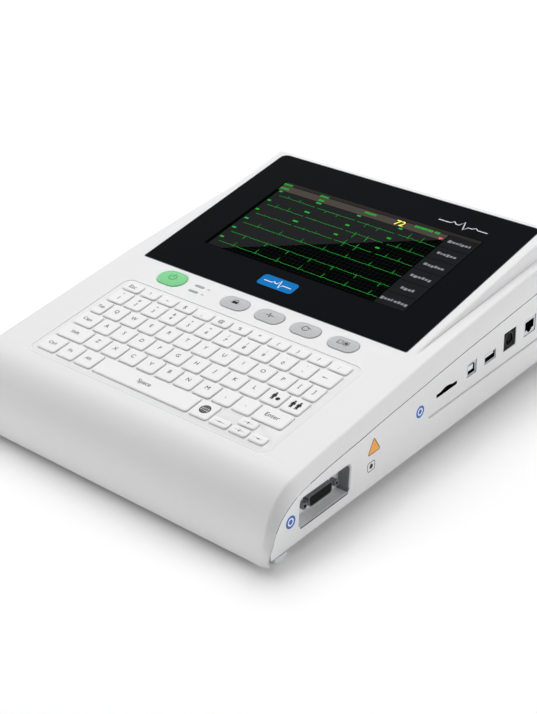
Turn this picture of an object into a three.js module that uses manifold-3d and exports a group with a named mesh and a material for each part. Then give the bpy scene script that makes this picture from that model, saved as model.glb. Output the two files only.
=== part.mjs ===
import * as THREE from 'three';
import { mergeVertices, toCreasedNormals } from 'three/addons/utils/BufferGeometryUtils.js';
import Module from 'manifold-3d';

// Desktop ECG recorder with a built-in keyboard and a raised display block.
// Millimetres. X to the machine's right, Y front to rear, Z up, feet on Z = 0.
// Y values are counted from the front edge; each finished part is then moved by -ORIGIN_Y.

// ---------- driving dimensions ----------
const HALF_WIDTH = 151.2;         // to the side planes
const DEPTH = 366.5;              // front edge to rear face
const FRONT = 3;                  // foremost point of the front roll
const ORIGIN_Y = (FRONT + DEPTH) / 2;
const BASE_Z = 4.7;               // underside of the case above the table
const KEY_PLANE = { z: 47.63, slope: 0.128 };     // z at y = 0, rise per mm of y
const GLASS_PLANE = { z: 41.15, slope: 0.1634 };
const COVER_WALL = 2.6;
const CASE_WALL = 2.5;
const INNER_X = HALF_WIDTH - CASE_WALL;
const RIDGE_INNER_X = 143;        // inside of the cover below its ridge
const SEAM = 0.6;                 // seam between cover and case
const GAP = 0.3;                  // general clearance
const REAR_R = 33;                // case radius under the rear edge
const GLASS = { x: 127.5, y0: 182.6, y1: 358.6, thick: 2.6, rearR: 6, frontR: 1.9 };
const PANEL = { x: 114, y0: 45, y1: 152, r: 7, thick: 1.4, drop: 1.0 };
const LED = { x: -57.5, width: 9, height: 2 };
const LEDS = [['led_mains', 171.5], ['led_battery', 164]];   // name, y
const BUTTONS = [
  { name: 'power_button', x: -84, y: 169.2, width: 26, height: 18.4, finish: 'green' },
  ...[-18.5, 15.3, 49.2, 83.5].map((x, i) => (
    { name: `function_button_${i + 1}`, x, y: 167.8, width: 25, height: 14.6, finish: 'grey' })),
];
const PILLARS = [[-118, 24], [118, 24], [-118, 320], [118, 320]];   // case screws, x and y

// right side; bounds are y0, y1, z0, z1
const PORT_FIELD = { bounds: [177, 340, 28.2, 57], r: 3.5, depth: 1.3 };
const PORT_FACE = HALF_WIDTH - PORT_FIELD.depth - 0.4;   // front faces of the ports
const PORTS = {
  sd: [188.6, 213.6, 39.6, 41.9],
  usbB: [226.6, 238.6, 38.1, 48.7],
  usbA: [249.7, 264.3, 38.3, 45.9],
  round: [275.4, 291.4, 37.7, 52.3],
  ethernet: [303.4, 319.3, 37.8, 51.3],
};
const RECESS = { bounds: [33.8, 86.3, 16.5, 38], r: 3, depth: 10, lean: 0.1 };
const CONNECTOR = { y: 61, z: 26.9, screwOffset: 16.65 };

// left side, same bounds
const INLET = [291.5, 319.5, 22.5, 42.5];
const SWITCH = [258, 279, 24, 38.6];
const EARTH = [243, 32];          // stud axis, y and z

// printer at the rear
const HINGE = { y: 364.2, z: 40.8, pinHole: 1.05, knuckle: 2.3 };
const PLATEN = { y: 354, z: 70 };
const GEAR_MODULE = 0.8;
const PLATEN_TEETH = 20;
const PINION_TEETH = 12;
const PINION_DIRECTION = rad(210);   // from the platen axis, in the y-z plane
const GEAR_DISTANCE = GEAR_MODULE * (PLATEN_TEETH + PINION_TEETH) / 2;
const MOTOR = {
  y: PLATEN.y + GEAR_DISTANCE * Math.cos(PINION_DIRECTION),
  z: PLATEN.z + GEAR_DISTANCE * Math.sin(PINION_DIRECTION),
};

// ---------- side lines ----------
// y, z of the cover's ridge, inboard of the side planes, front to rear
const RIDGE_STATIONS = [
  [3, 2], [3, 6], [3.5, 11.2], [4.9, 18], [6.9, 24.6], [9.3, 30.2], [12.4, 35.5],
  [17.2, 41.4], [22.2, 45.8], [27.2, 49.0], [33, 51.3], [39, 52.5], [46, 53.52],
  [70, 56.59], [98, 60.17], [120, 62.99], [145, 66.19], [170, 69.39], [184.7, 71.2],
  [215, 74.3], [268.3, 79.5], [319.5, 84.2], [350, 86.9], [358.5, 87.2], [363.6, 85.2],
  [366.1, 81.2], [366.5, 76.5],
];
// y, z of the seam on the side planes, one point for each ridge point
const SEAM_STATIONS = [
  [5, 2.4], [4.2, 6.6], [4.9, 12.2], [7.2, 17.2], [10.0, 23.6], [13.6, 29.2], [17.8, 33.6],
  [24, 37.9], [29.5, 40.8], [34, 42.5], [39, 43.9], [44, 44.95], [50, 45.9],
  [71, 48.7], [98, 51.1], [120, 53.6], [145, 55.9], [170, 58.2], [184.7, 59.6],
  [215, 62.4], [268, 66.4], [319, 70.1], [350, 72.35], [358, 72.9], [362.5, 73.3],
  [365.3, 73.5], [366.2, 73.6],
];
// pieces each span is split into
const SPLIT = [3, 3, 3, 3, 3, 3, 3, 3, 3, 3, 3, 3, 2, 1, 1, 1, 1, 1, 1, 1, 1, 1, 2, 3, 3, 2];
const REAR_STATION = 22;          // last station before the rear edge turns down

// Hermite curve through the stations, with slopes weighted by span length
function smooth(points) {
  const clamped = (i) => points[Math.max(0, Math.min(points.length - 1, i))];
  const distance = (a, b) => Math.hypot(b[0] - a[0], b[1] - a[1]) || 1;
  const curve = [];
  SPLIT.forEach((count, i) => {
    const [before, start, end, after] = [-1, 0, 1, 2].map((step) => clamped(i + step));
    const slope = (a, b, c, axis) => {
      const first = distance(a, b), second = distance(b, c);
      const weighted = second * (b[axis] - a[axis]) / first + first * (c[axis] - b[axis]) / second;
      return weighted / (first + second) * distance(start, end);
    };
    for (let k = 0; k < count; k++) {
      const t = k / count;
      curve.push([0, 1].map((axis) => (2 * t ** 3 - 3 * t * t + 1) * start[axis]
        + (t ** 3 - 2 * t * t + t) * slope(before, start, end, axis)
        + (3 * t * t - 2 * t ** 3) * end[axis]
        + (t ** 3 - t * t) * slope(start, end, after, axis)));
    }
  });
  return [...curve, points.at(-1)];
}
const RIDGE = smooth(RIDGE_STATIONS), SEAM_LINE = smooth(SEAM_STATIONS);
const smoothIndex = (station) => SPLIT.slice(0, station).reduce((a, b) => a + b, 0);

function ridgeZ(y) {
  const i = RIDGE.findIndex((point) => y <= point[0]);
  const [a, b] = [RIDGE[i - 1], RIDGE[i]];
  return a[1] + (b[1] - a[1]) * (y - a[0]) / (b[0] - a[0]);
}
const deckZ = (y) => ridgeZ(Math.min(y, 350));
const glassZ = (y) => GLASS_PLANE.z + GLASS_PLANE.slope * y;

// unit vector from the ridge to the seam at smooth point i, and the distance between them
function bevelAt(i) {
  const [a, b] = [RIDGE[i], SEAM_LINE[i]];
  const length = Math.hypot(b[0] - a[0], b[1] - a[1]);
  return { direction: [(b[0] - a[0]) / length, (b[1] - a[1]) / length], length };
}
const moved = (point, direction, by) => point.map((value, i) => value + direction[i] * by);

// ---------- solids ----------
const wasm = await Module();
wasm.setup();
function rad(degrees) {
  return degrees * Math.PI / 180;
}

// closed geometry to a manifold, turned outside out if its faces point inwards
function solid(geometry) {
  geometry.deleteAttribute('normal');
  geometry.deleteAttribute('uv');
  const merged = mergeVertices(geometry, 1e-4);
  const points = merged.attributes.position.array, corners = merged.index.array;
  const corner = (i) => new THREE.Vector3().fromArray(points, i * 3);
  const triangles = [];
  let volume = 0;
  for (let i = 0; i < corners.length; i += 3) {
    const [a, b, c] = corners.slice(i, i + 3);
    if (a === b || b === c || a === c) continue;
    triangles.push(a, b, c);
    volume += corner(a).dot(corner(b).cross(corner(c)));
  }
  if (volume < 0) {
    for (let i = 0; i < triangles.length; i += 3) {
      [triangles[i], triangles[i + 1]] = [triangles[i + 1], triangles[i]];
    }
  }
  return new wasm.Manifold(new wasm.Mesh({
    numProp: 3,
    vertProperties: new Float32Array(points),
    triVerts: new Uint32Array(triangles),
  }));
}
const add = (...solids) => solids.reduce((a, b) => a.add(b));
const cut = (body, ...tools) => tools.reduce((a, b) => a.subtract(b), body);

// polygon in (x, y) extruded from z0 to z1, then set in a frame
function slab(points, z0, z1, frame = new THREE.Matrix4()) {
  const shape = new THREE.Shape(points.map(([x, y]) => new THREE.Vector2(x, y)));
  const geometry = new THREE.ExtrudeGeometry(shape, { depth: z1 - z0, bevelEnabled: false });
  return solid(geometry.translate(0, 0, z0).applyMatrix4(frame));
}
const CYCLE_AXES = new THREE.Matrix4().set(0, 0, 1, 0, 1, 0, 0, 0, 0, 1, 0, 0, 0, 0, 0, 1);
const SWAP_YZ = new THREE.Matrix4().set(1, 0, 0, 0, 0, 0, 1, 0, 0, 1, 0, 0, 0, 0, 0, 1);
// polygon in (y, z) extruded along x
const across = (points, x0, x1) => slab(points, x0, x1, CYCLE_AXES);

function box(x0, x1, y0, y1, z0, z1, frame = new THREE.Matrix4()) {
  const geometry = new THREE.BoxGeometry(x1 - x0, y1 - y0, z1 - z0);
  geometry.translate((x0 + x1) / 2, (y0 + y1) / 2, (z0 + z1) / 2);
  return solid(geometry.applyMatrix4(frame));
}
function rodX(radius, x0, x1, y, z, sides = 24) {
  const geometry = new THREE.CylinderGeometry(radius, radius, x1 - x0, sides);
  return solid(geometry.rotateZ(-Math.PI / 2).translate((x0 + x1) / 2, y, z));
}
function rodZ(radius, z0, z1, x, y, sides) {
  const geometry = new THREE.CylinderGeometry(radius, radius, z1 - z0, sides);
  return solid(geometry.rotateX(Math.PI / 2).translate(x, y, (z0 + z1) / 2));
}
const pillarRods = (radius, z0, z1, sides) => (
  PILLARS.map(([x, y]) => rodZ(radius, z0, z1, x, y, sides)));

// closed loft through rings of equal length; convex end caps
function loft(rings) {
  const size = rings[0].length, last = (rings.length - 1) * size, index = [];
  for (let start = 0; start < last; start += size) {
    for (let j = 0; j < size; j++) {
      const a = start + j, b = start + (j + 1) % size;
      index.push(a, b, b + size, a, b + size, a + size);
    }
  }
  for (let j = 1; j + 1 < size; j++) index.push(0, j + 1, j, last, last + j, last + j + 1);
  const geometry = new THREE.BufferGeometry();
  geometry.setAttribute('position', new THREE.Float32BufferAttribute(rings.flat(2), 3));
  geometry.setIndex(index);
  return solid(geometry);
}
const mirrorRing = (half) => [...half.map(([x, y, z]) => [-x, y, z]), ...half.toReversed()];

// ---------- outlines ----------
// radius is that of the corners at y1, lowRadius of those at y0
function roundRect(x0, x1, y0, y1, radius, steps = 4, lowRadius = radius) {
  const corners = [
    [x1 - radius, y1 - radius, 0, radius], [x0 + radius, y1 - radius, 90, radius],
    [x0 + lowRadius, y0 + lowRadius, 180, lowRadius],
    [x1 - lowRadius, y0 + lowRadius, 270, lowRadius],
  ];
  return corners.flatMap(([x, y, start, r]) => Array.from({ length: steps + 1 }, (_, i) => {
    const angle = rad(start + 90 * i / steps);
    return [x + r * Math.cos(angle), y + r * Math.sin(angle)];
  }));
}
const endRadius = (width) => width / 2 - 0.02;   // leaves a sliver of flat on rounded ends
const stadium = (x, y, width, height, steps = 6) => roundRect(
  x - width / 2, x + width / 2, y - height / 2, y + height / 2,
  endRadius(Math.min(width, height)), steps);
const grow = ([a0, a1, b0, b1], by) => [a0 - by, a1 + by, b0 - by, b1 + by];
const centre = ([a0, a1, b0, b1]) => [(a0 + a1) / 2, (b0 + b1) / 2];
const offset = (points, [a, b]) => points.map(([u, v]) => [u + a, v + b]);

// loft of a rounded rectangle that grows with level; levels are [growth, level]
const flare = (bounds, radius, steps, levels, place) => loft(levels.map(([growth, level]) => (
  roundRect(...grow(bounds, growth), radius + growth, steps).map(([u, v]) => place(u, v, level)))));
// cutter levels for a softened edge; level 0 is the outer face
const rimLevels = (width) => [
  [-0.05, -width - 0.05], [0, -width], [width * 0.35, -width * 0.4], [width, 0],
  [width + 0.4, 0.4],
];

// ---------- sloping frames ----------
// local y runs up the slope, local z is the normal
const slopeFrame = ({ z, slope }) => new THREE.Matrix4().makeTranslation(0, 0, z)
  .multiply(new THREE.Matrix4().makeRotationX(Math.atan(slope)));
const KEY_FRAME = slopeFrame(KEY_PLANE), GLASS_FRAME = slopeFrame(GLASS_PLANE);
// level y to distance up the slope
const onKeys = (y) => y * Math.hypot(1, KEY_PLANE.slope);
const onGlass = (y) => y * Math.hypot(1, GLASS_PLANE.slope);
const inKeyFrame = (body) => body.transform(KEY_FRAME.elements.slice());
const keyPoint = (x, y, z) => new THREE.Vector3(x, y, z).applyMatrix4(KEY_FRAME).toArray();

const PANEL_BOUNDS = [-PANEL.x, PANEL.x, onKeys(PANEL.y0), onKeys(PANEL.y1)];
const GLASS_BOUNDS = [-GLASS.x, GLASS.x, onGlass(GLASS.y0), onGlass(GLASS.y1)];
function buttonBounds({ x, y, width, height }) {
  const middle = onKeys(y);
  return [x - width / 2, x + width / 2, middle - height / 2, middle + height / 2];
}

// ---------- cover ----------
// up the side bevel: share of the drop from ridge to seam, x
const SIDE_BEVEL = [
  [1, HALF_WIDTH], [0.93, 150.95], [0.65, 149.6], [0.35, 147.8],
  [0.11, 146.0], [0.045, 145.3], [0.012, 144.5], [0, 143.5],
];
const CASE_PLAN = slab(roundRect(-HALF_WIDTH, HALF_WIDTH, 0, DEPTH, 7, 4), -5, 130);

function coverSkin() {
  return loft(RIDGE.map((ridge, i) => mirrorRing(SIDE_BEVEL.map(([share, x]) => [
    x,
    ridge[0] + (SEAM_LINE[i][0] - ridge[0]) * share,
    ridge[1] + (SEAM_LINE[i][1] - ridge[1]) * share,
  ]))));
}

// raised block that carries the display; its flanks widen with height
function displayBlock() {
  const ring = (y) => {
    const top = glassZ(y), deck = deckZ(y);
    const height = Math.max(top - deck, 0.05);
    const rounding = Math.min(1, height / 3);
    const footX = 134.6 + 0.31 * height;
    return mirrorRing([
      [footX + 0.9, y, Math.min(deck, top) - 6],
      [footX, y, Math.min(deck, top - 0.02)],
      [135.2, y, top - 1.5 * rounding - 0.01],
      [134.5, y, top - 0.45 * rounding],
      [132.9, y, top],
    ]);
  };
  const body = loft([178, 184, 200, 230, 268.3, 319.5, DEPTH].map(ring));
  // y, height over the glass plane: rounded rear edge
  const rearEdge = [
    [366.5, -7.5], [366.1, -4.3], [365.1, -2.2], [363.4, -0.8], [361.2, -0.15],
    [359, 0.02], [170, 0.02],
  ].map(([y, rise]) => [y, glassZ(y) + rise]);
  const profile = across([[170, 60], [DEPTH, 60], ...rearEdge], -150, 150);
  const outline = slab(roundRect(-139.6, 139.6, 150, DEPTH, 9, 5), 40, 120);
  return body.intersect(profile).intersect(outline);
}

function coverCavity() {
  const rings = [];
  for (let i = smoothIndex(5); i <= smoothIndex(REAR_STATION); i++) {
    const { direction, length } = bevelAt(i);
    const rise = Math.min(3, Math.max(0.2, length - 5));
    rings.push([
      [INNER_X, ...moved(SEAM_LINE[i], direction, 4)],
      [INNER_X, ...moved(SEAM_LINE[i], direction, -rise)],
      [RIDGE_INNER_X, ...moved(RIDGE[i], direction, Math.min(COVER_WALL, length * 0.75))],
    ]);
  }
  // rear end: y at the bottom, shoulder and top, then top z
  const rear = [
    [357, 357, 357, 84.4], [361.5, 361.4, 361.2, 82.2], [363.8, 363.7, 363.6, 78.5],
  ];
  for (const [bottomY, shoulderY, topY, topZ] of rear) {
    rings.push([
      [INNER_X, bottomY, 68.5], [INNER_X, shoulderY, 75.5], [RIDGE_INNER_X, topY, topZ],
    ]);
  }
  return loft(rings.map(mirrorRing));
}

const blockCavity = () => loft([186, 230, 268.3, 319.5, 350, 363.2].map((y) => mirrorRing([
  [131.5, y, deckZ(y) - 8],
  [131.5, y, glassZ(y) - 6.2 - (y > 360 ? 3 : 0)],
])));

function coverOpenings() {
  const ledHole = ([, y]) => (
    stadium(LED.x, onKeys(y), LED.width + 2 * GAP, LED.height + 2 * GAP, 3));
  const buttonHole = ({ x, y, width, height }) => (
    stadium(x, onKeys(y), width + 2 * GAP, height + 2 * GAP));
  return [
    slab(roundRect(...grow(GLASS_BOUNDS, GAP), GLASS.rearR, 5, GLASS.frontR), -3, 12, GLASS_FRAME),
    slab(roundRect(-106, 106, onGlass(205), onGlass(337), 2, 1), -9, 2, GLASS_FRAME),
    slab(roundRect(...PANEL_BOUNDS, PANEL.r, 5), -2.6, 9, KEY_FRAME),
    slab(roundRect(-111.4, 111.4, onKeys(47.6), onKeys(149.6), 3, 2), -9, 2, KEY_FRAME),
    ...[...BUTTONS.map(buttonHole), ...LEDS.map(ledHole)].map((o) => slab(o, -9, 4, KEY_FRAME)),
    ...pillarRods(1.85, 8, 20, 12),
    flare(PANEL_BOUNDS, PANEL.r, 5, rimLevels(0.7), keyPoint),
    ...BUTTONS.map((button) => flare(grow(buttonBounds(button), GAP),
      endRadius(button.height + 2 * GAP), 6, rimLevels(0.5), keyPoint)),
  ];
}

function topCover() {
  const outer = coverSkin().add(displayBlock()).intersect(CASE_PLAN);
  // bearers under the glass and around the keyboard
  const glassBearer = slab(
    roundRect(-133, 133, onGlass(180.3), onGlass(361.5), 5), -5.6, -0.8, GLASS_FRAME);
  const keyBearer = slab(roundRect(-118, 118, 41.544, onKeys(156), 6), -4.4, -0.8, KEY_FRAME);
  const pillars = PILLARS.map(([x, y]) => (
    rodZ(4, 9.5, y < 100 ? ridgeZ(y - 4) - 1.6 : glassZ(y) - 4, x, y, 16)));
  const hollow = cut(outer, coverCavity(), blockCavity());
  const fitted = add(hollow, glassBearer.intersect(outer), keyBearer.intersect(outer), ...pillars);
  return cut(fitted, ...coverOpenings());
}

// ---------- lower case ----------
function rearArc(radius) {
  return Array.from({ length: 9 }, (_, i) => {
    const angle = rad(90 * i / 8);
    return [DEPTH - REAR_R + radius * Math.cos(angle), BASE_Z + REAR_R - radius * Math.sin(angle)];
  });
}

function caseShell() {
  const rearIndex = smoothIndex(REAR_STATION), underSeam = [];
  for (let i = smoothIndex(2); i < SEAM_LINE.length; i++) {
    const [y, z] = SEAM_LINE[i];
    underSeam.push(i > rearIndex
      ? [Math.min(y, 366), z - SEAM]
      : moved([y, z], bevelAt(i).direction, SEAM));
  }
  const profile = [[7.4, BASE_Z], [5.8, 8.5], ...underSeam, [DEPTH, 73], ...rearArc(REAR_R)];
  const body = across(profile, -HALF_WIDTH, HALF_WIDTH).intersect(CASE_PLAN);
  // cutters that soften the lower side edges: distance out from the side plane, height over base
  const edge = [[-3.4, -2], [6, -2], [6, 5.4], [0, 5.4], [-0.9, 1.8], [-3.4, 0]];
  const softeners = [-1, 1].map((side) => slab(
    edge.map(([out, up]) => [side * (HALF_WIDTH + out), BASE_Z + up]), -20, 400, SWAP_YZ));
  const rearY = DEPTH - CASE_WALL;
  const cavity = across([[9.5, BASE_Z + CASE_WALL], [9.5, 100], [rearY, 100],
    ...rearArc(REAR_R - CASE_WALL)], -INNER_X, INNER_X);
  const cavityPlan = slab(roundRect(-INNER_X, INNER_X, CASE_WALL, rearY, 5, 3), 0, 140);
  return cut(body, ...softeners, cavity.intersect(cavityPlan));
}

// lips beside the seam: x0, x1, top above the seam line
function seamLips() {
  const line = SEAM_LINE.slice(smoothIndex(13), smoothIndex(REAR_STATION) + 1);
  const raised = (by) => line.map(([y, z]) => [y, z + by]);
  return [
    [147, 148.4, 2.4], [147, 149.6, -1.1], [-148.4, -147, 2.4], [-149.6, -147, -1.1],
  ].map(([x0, x1, top]) => across([...raised(-4.5), ...raised(top).reverse()], x0, x1));
}

// D outline on the connector axis, narrower at the bottom
function connectorOutline(width, height, radius = 1.6) {
  return roundRect(-width / 2, width / 2, -height / 2, height / 2, radius, 3).map(([y, z]) => (
    [CONNECTOR.y + y * (1 - 0.081 * (0.5 - z / height)), CONNECTOR.z + z]));
}
const connectorRods = (radius, x0, x1) => [-1, 1].map((side) => (
  rodX(radius, x0, x1, CONNECTOR.y + side * CONNECTOR.screwOffset, CONNECTOR.z, 12)));

function recessCuts() {
  const lean = (y, z) => [y + (z - RECESS.bounds[2]) * RECESS.lean, z];
  const outline = roundRect(...RECESS.bounds, RECESS.r, 3).map(([y, z]) => lean(y, z));
  return [
    across(outline, HALF_WIDTH - RECESS.depth, HALF_WIDTH + 3),
    across(connectorOutline(22.2, 7.4), 136, 145),
    ...connectorRods(1.6, 136, 146),
    flare(RECESS.bounds, RECESS.r, 3, rimLevels(1),
      (y, z, level) => [HALF_WIDTH + level, ...lean(y, z)]),
  ];
}

function portCuts() {
  const { bounds, r, depth } = PORT_FIELD;
  const fieldLevels = [[-0.05, -depth], [0.15, -0.5], [0.7, 0], [1.1, 0.4]];
  // finger notch over the card slot
  const notch = Array.from({ length: 9 }, (_, i) => (
    [192 + 2.2 * i, 41.6 + 2.2 * Math.sin(Math.PI * i / 8)]));
  return [
    across(roundRect(...bounds, r, 3), HALF_WIDTH - depth, HALF_WIDTH + 2),
    flare(bounds, r, 3, fieldLevels, (y, z, level) => [HALF_WIDTH + level, y, z]),
    across([...notch, [209.6, 40.6], [192, 40.6]], 147.6, 156),
    ...Object.values(PORTS).map((port) => (
      across(roundRect(...grow(port, GAP), 0.5, 1), 144, 156))),
  ];
}

const mainsCuts = () => [
  ...[INLET, SWITCH].map((bounds) => (
    across(roundRect(...grow(bounds, GAP), 1, 1), -156, -146))),
  rodX(6.2, -156, -149.9, ...EARTH, 20),
  rodX(2.1, -156, -146, ...EARTH, 12),
];

// battery bay, speaker slots, right-hand slots and screw holes
const floorCuts = () => [
  box(-60.3, 60.3, 118.7, 201.3, 0, 9),
  ...[-12, -6, 0, 6, 12].map((y) => (
    slab(stadium(-100, 100 + y, 26 - Math.abs(y) * 0.6, 2.4, 3), 0, 9))),
  ...[-16, -8, 0, 8, 16].map((y) => slab(stadium(95, 240 + y, 40, 3, 3), 0, 9)),
  ...pillarRods(3.6, 0, 7, 16),
  ...pillarRods(1.8, 5, 12, 12),
];

function lowerCase() {
  const bosses = pillarRods(6, BASE_Z + 0.2, 9.2, 20);
  const portBacking = box(147, 149.6, 176, 353, 26, 58);
  const recessBody = across([[31.5, 14.3], [89.5, 14.3], [91, 40.2], [33.5, 40.2]], 139, 149.6);
  const doorOpening = box(-112.6, 112.6, 358, 370, 38.1, 90);
  const hingeLugs = [[-114.5, -103], [103, 114.5]].flatMap(([x0, x1]) => [
    rodX(HINGE.knuckle, x0, x1, HINGE.y, HINGE.z, 20),
    box(x0, x1, 362.2, 366.2, 36.8, HINGE.z),
  ]);
  const bayWalls = [[-64, -60.3], [60.3, 64]].map(([x0, x1]) => (
    box(x0, x1, 116, 204, BASE_Z + 2.4, 12)));
  const walls = add(caseShell(), ...seamLips(), ...bosses, portBacking, recessBody);
  const opened = cut(walls, ...recessCuts(), ...portCuts(), doorOpening);
  const hinged = cut(add(opened, ...hingeLugs),
    rodX(HINGE.pinHole, -111.5, 111.5, HINGE.y, HINGE.z, 16));
  return add(cut(hinged, ...mainsCuts(), ...floorCuts()), ...bayWalls);
}

// ---------- keyboard ----------
const KEY = { top: 0.7, chamfer: 0.7, edge: 0.6, gap: 2, web0: -4, web1: -2.8, webHalf: 2.4 };
const KEYS_LEFT = -109, KEYS_RIGHT = 107.8;
// name, y0, y1, left edge of the first key, right edge of every key
const KEY_STRIPS = [
  ['key_row_1', 138.9, 148.0, KEYS_LEFT,
    [-92.6, -74.5, -56.4, -38.2, -20, -2, 16.2, 34.5, 52.7, 71, 89.3, KEYS_RIGHT]],
  ['key_row_2', 121.3, 136.8, KEYS_LEFT,
    [-92.8, -74.8, -56.8, -38.8, -20.8, -2.8, 15.2, 33.2, 51.2, 69.2, 87.2, KEYS_RIGHT]],
  ['key_row_3', 103.8, 119.3, KEYS_LEFT,
    [-97.6, -79.6, -61.7, -43.8, -25.8, -7.8, 10.2, 28.2, 46.2, 64.2, 82.2, 94.8, KEYS_RIGHT]],
  ['key_row_4', 86.3, 101.8, KEYS_LEFT,
    [-90.6, -72.6, -54.6, -36.6, -18.6, -0.6, 17.4, 35.5, 53.6, 71.7, 89.8, KEYS_RIGHT]],
  ['key_row_5', 68.8, 84.3, KEYS_LEFT,
    [-82.2, -64.4, -46.4, -28.4, -10.4, 7.6, 25.6, 43.6, 61.6, 79.6, KEYS_RIGHT]],
  ['key_row_6', 49.9, 66.4, KEYS_LEFT, [-91.6, -73, -54.2]],
  ['space_bar', 49.9, 66.4, -52.2, [39.8]],
  ['globe_key', 49.9, 66.4, 41.8, [58.2]],
  ['arrow_keys_lower', 49.9, 57.2, 60.2, [75.6, 92.2, KEYS_RIGHT]],
  ['arrow_key_up', 59.2, 66.4, 77.6, [92.2]],
];
// bounds of each key in the key frame
const keyBounds = ([, y0, y1, left, rights]) => rights.map((right, i) => (
  [i ? rights[i - 1] + KEY.gap : left, right, onKeys(y0), onKeys(y1)]));

// keys joined by a web along their undersides
function keyStrip(bounds) {
  const levels = [[0, KEY.web0], [0, KEY.top - KEY.edge], [-KEY.chamfer, KEY.top]];
  const parts = bounds.map((key) => loft(levels.map(([growth, z]) => {
    const [x0, x1, y0, y1] = grow(key, growth);
    return [[x0, y0, z], [x1, y0, z], [x1, y1, z], [x0, y1, z]];
  })));
  if (bounds.length > 1) {
    const [, y] = centre(bounds[0]);
    parts.push(box(bounds[0][0] + 1, bounds.at(-1)[1] - 1,
      y - KEY.webHalf, y + KEY.webHalf, KEY.web0, KEY.web1));
  }
  return add(...parts);
}

function keyboardPanel() {
  const outline = roundRect(...grow(PANEL_BOUNDS, -GAP), PANEL.r - GAP, 5);
  const holes = KEY_STRIPS.flatMap(keyBounds).map((key) => box(...grow(key, GAP), -5, 3));
  return cut(slab(outline, -PANEL.drop - PANEL.thick, -PANEL.drop), add(...holes));
}

function domedButton(button) {
  const levels = [[0, -3.2], [0, 0.25], [-0.5, 0.75], [-1.8, 1.05], [-4, 1.2]];
  const [x0, x1, y0, y1] = buttonBounds(button);
  const flange = box(x0 - 1.6, x1 + 1.6, y0 + 3, y1 - 3, -4.4, -3);
  return flare([x0, x1, y0, y1], endRadius(button.height), 6, levels, (x, y, z) => [x, y, z])
    .add(flange);
}

// ---------- printer ----------
// spur gear with one tooth centred on the start angle
function gear(teeth, start, { y, z }, x0, x1) {
  const pitchR = GEAR_MODULE * teeth / 2;
  const tipR = pitchR + 0.75 * GEAR_MODULE, rootR = pitchR - 1.05 * GEAR_MODULE;
  const halfTooth = (Math.PI * GEAR_MODULE / 2 - 0.28) / 2 / pitchR;
  // radius, half tooth widths from the tooth centre
  const flanks = [
    [rootR, -1.75], [pitchR, -1], [tipR, -0.5], [tipR, 0.5], [pitchR, 1], [rootR, 1.75],
  ];
  const points = Array.from({ length: teeth }, (_, i) => flanks.map(([radius, side]) => {
    const angle = start + 2 * Math.PI * i / teeth + halfTooth * side * pitchR / radius;
    return [y + radius * Math.cos(angle), z + radius * Math.sin(angle)];
  })).flat();
  return across(points, x0, x1);
}

function printerChassis() {
  const sidePlate = [[205, 39.5], [360, 39.5], [360, 60], [361, 66], [361, 76], [347, 80],
    [338, 80], [334, 60.5], [205, 60.5]];
  const motorPlate = [[331, 49.6], [352, 49.6], [355, 58], [352, 72], [334, 72], [331, 60]];
  const body = add(
    box(-111, 111, 205, 360, 39.5, 41.1),
    box(-111, 111, 205, 206.8, 39.5, 60.5),
    across(sidePlate, -111, -109.2),
    across(sidePlate, 109.2, 111),
    box(-120.6, -109.5, 331, 352, 49.6, 51.4),
    across(motorPlate, -120.6, -119));
  return cut(body,
    rodX(2.55, -112, -108, PLATEN.y, PLATEN.z),
    rodX(2.55, 108, 112, PLATEN.y, PLATEN.z),
    rodX(3.2, -121, -118, MOTOR.y, MOTOR.z, 20));
}

const platenRoller = () => add(
  rodX(7, -107.8, 107.8, PLATEN.y, PLATEN.z, 36),
  rodX(2.5, -118.4, 112.5, PLATEN.y, PLATEN.z),
  gear(PLATEN_TEETH, PINION_DIRECTION, PLATEN, -117.6, -112.6));

// a tooth gap faces the platen
const motorPinion = () => add(
  gear(PINION_TEETH, PINION_DIRECTION + Math.PI + Math.PI / PINION_TEETH, MOTOR, -117.4, -112.8),
  rodX(1.5, -125, -112.8, MOTOR.y, MOTOR.z, 16));

const stepperMotor = () => cut(
  add(rodX(10, -140, -121, MOTOR.y, MOTOR.z, 28), rodX(2.9, -121.2, -120.2, MOTOR.y, MOTOR.z, 20)),
  rodX(1.55, -125.6, -119, MOTOR.y, MOTOR.z, 16));

function printerDoor() {
  const leaf = add(
    box(-112, 112, 362.7, 365.7, 43.7, 71.2),
    box(-100.5, 100.5, 362.7, 365.7, HINGE.z, 44),
    rodX(HINGE.knuckle, -100.5, 100.5, HINGE.y, HINGE.z, 20));
  const cuts = [
    rodX(HINGE.pinHole, -101, 101, HINGE.y, HINGE.z, 16),
    box(-13.3, 13.3, 362, 364.3, 57.3, 69.3),
    box(-10.3, 10.3, 362, 367, 57.9, 68.3),
  ];
  const ribs = [-80, -55, 55, 80].map((x) => box(x - 0.8, x + 0.8, 360.8, 362.8, 46, 64));
  return add(cut(leaf, ...cuts), ...ribs);
}

const doorLatch = () => add(
  box(-13, 13, 362.2, 364, 59.9, 69),
  box(-10, 10, 363.9, 365.6, 60.6, 68),
  ...[0, 1, 2].map((i) => box(-7, 7, 365.5, 366.3, 62 + 2 * i, 62.9 + 2 * i)));

// ---------- boards and inner units ----------
const mainBoard = () => cut(
  add(
    box(-60, 147, 182, 320, 35.6, 37.2),
    box(84, 100, 190, 202, 37.1, 38.6),
    box(60, 76, 232, 248, 37.1, 38.8),
    box(-40, -24, 230, 246, 37.1, 38.4),
    box(0, 28, 250, 272, 37.1, 38.5)),
  rodZ(6.5, 30, 45, 118, 320, 16));

const keyboardBoard = () => cut(
  box(-111, 111, onKeys(48), onKeys(179), -8.2, -6.6, KEY_FRAME),
  box(-60, -40, onKeys(90), onKeys(110), -9, -6, KEY_FRAME));

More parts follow.
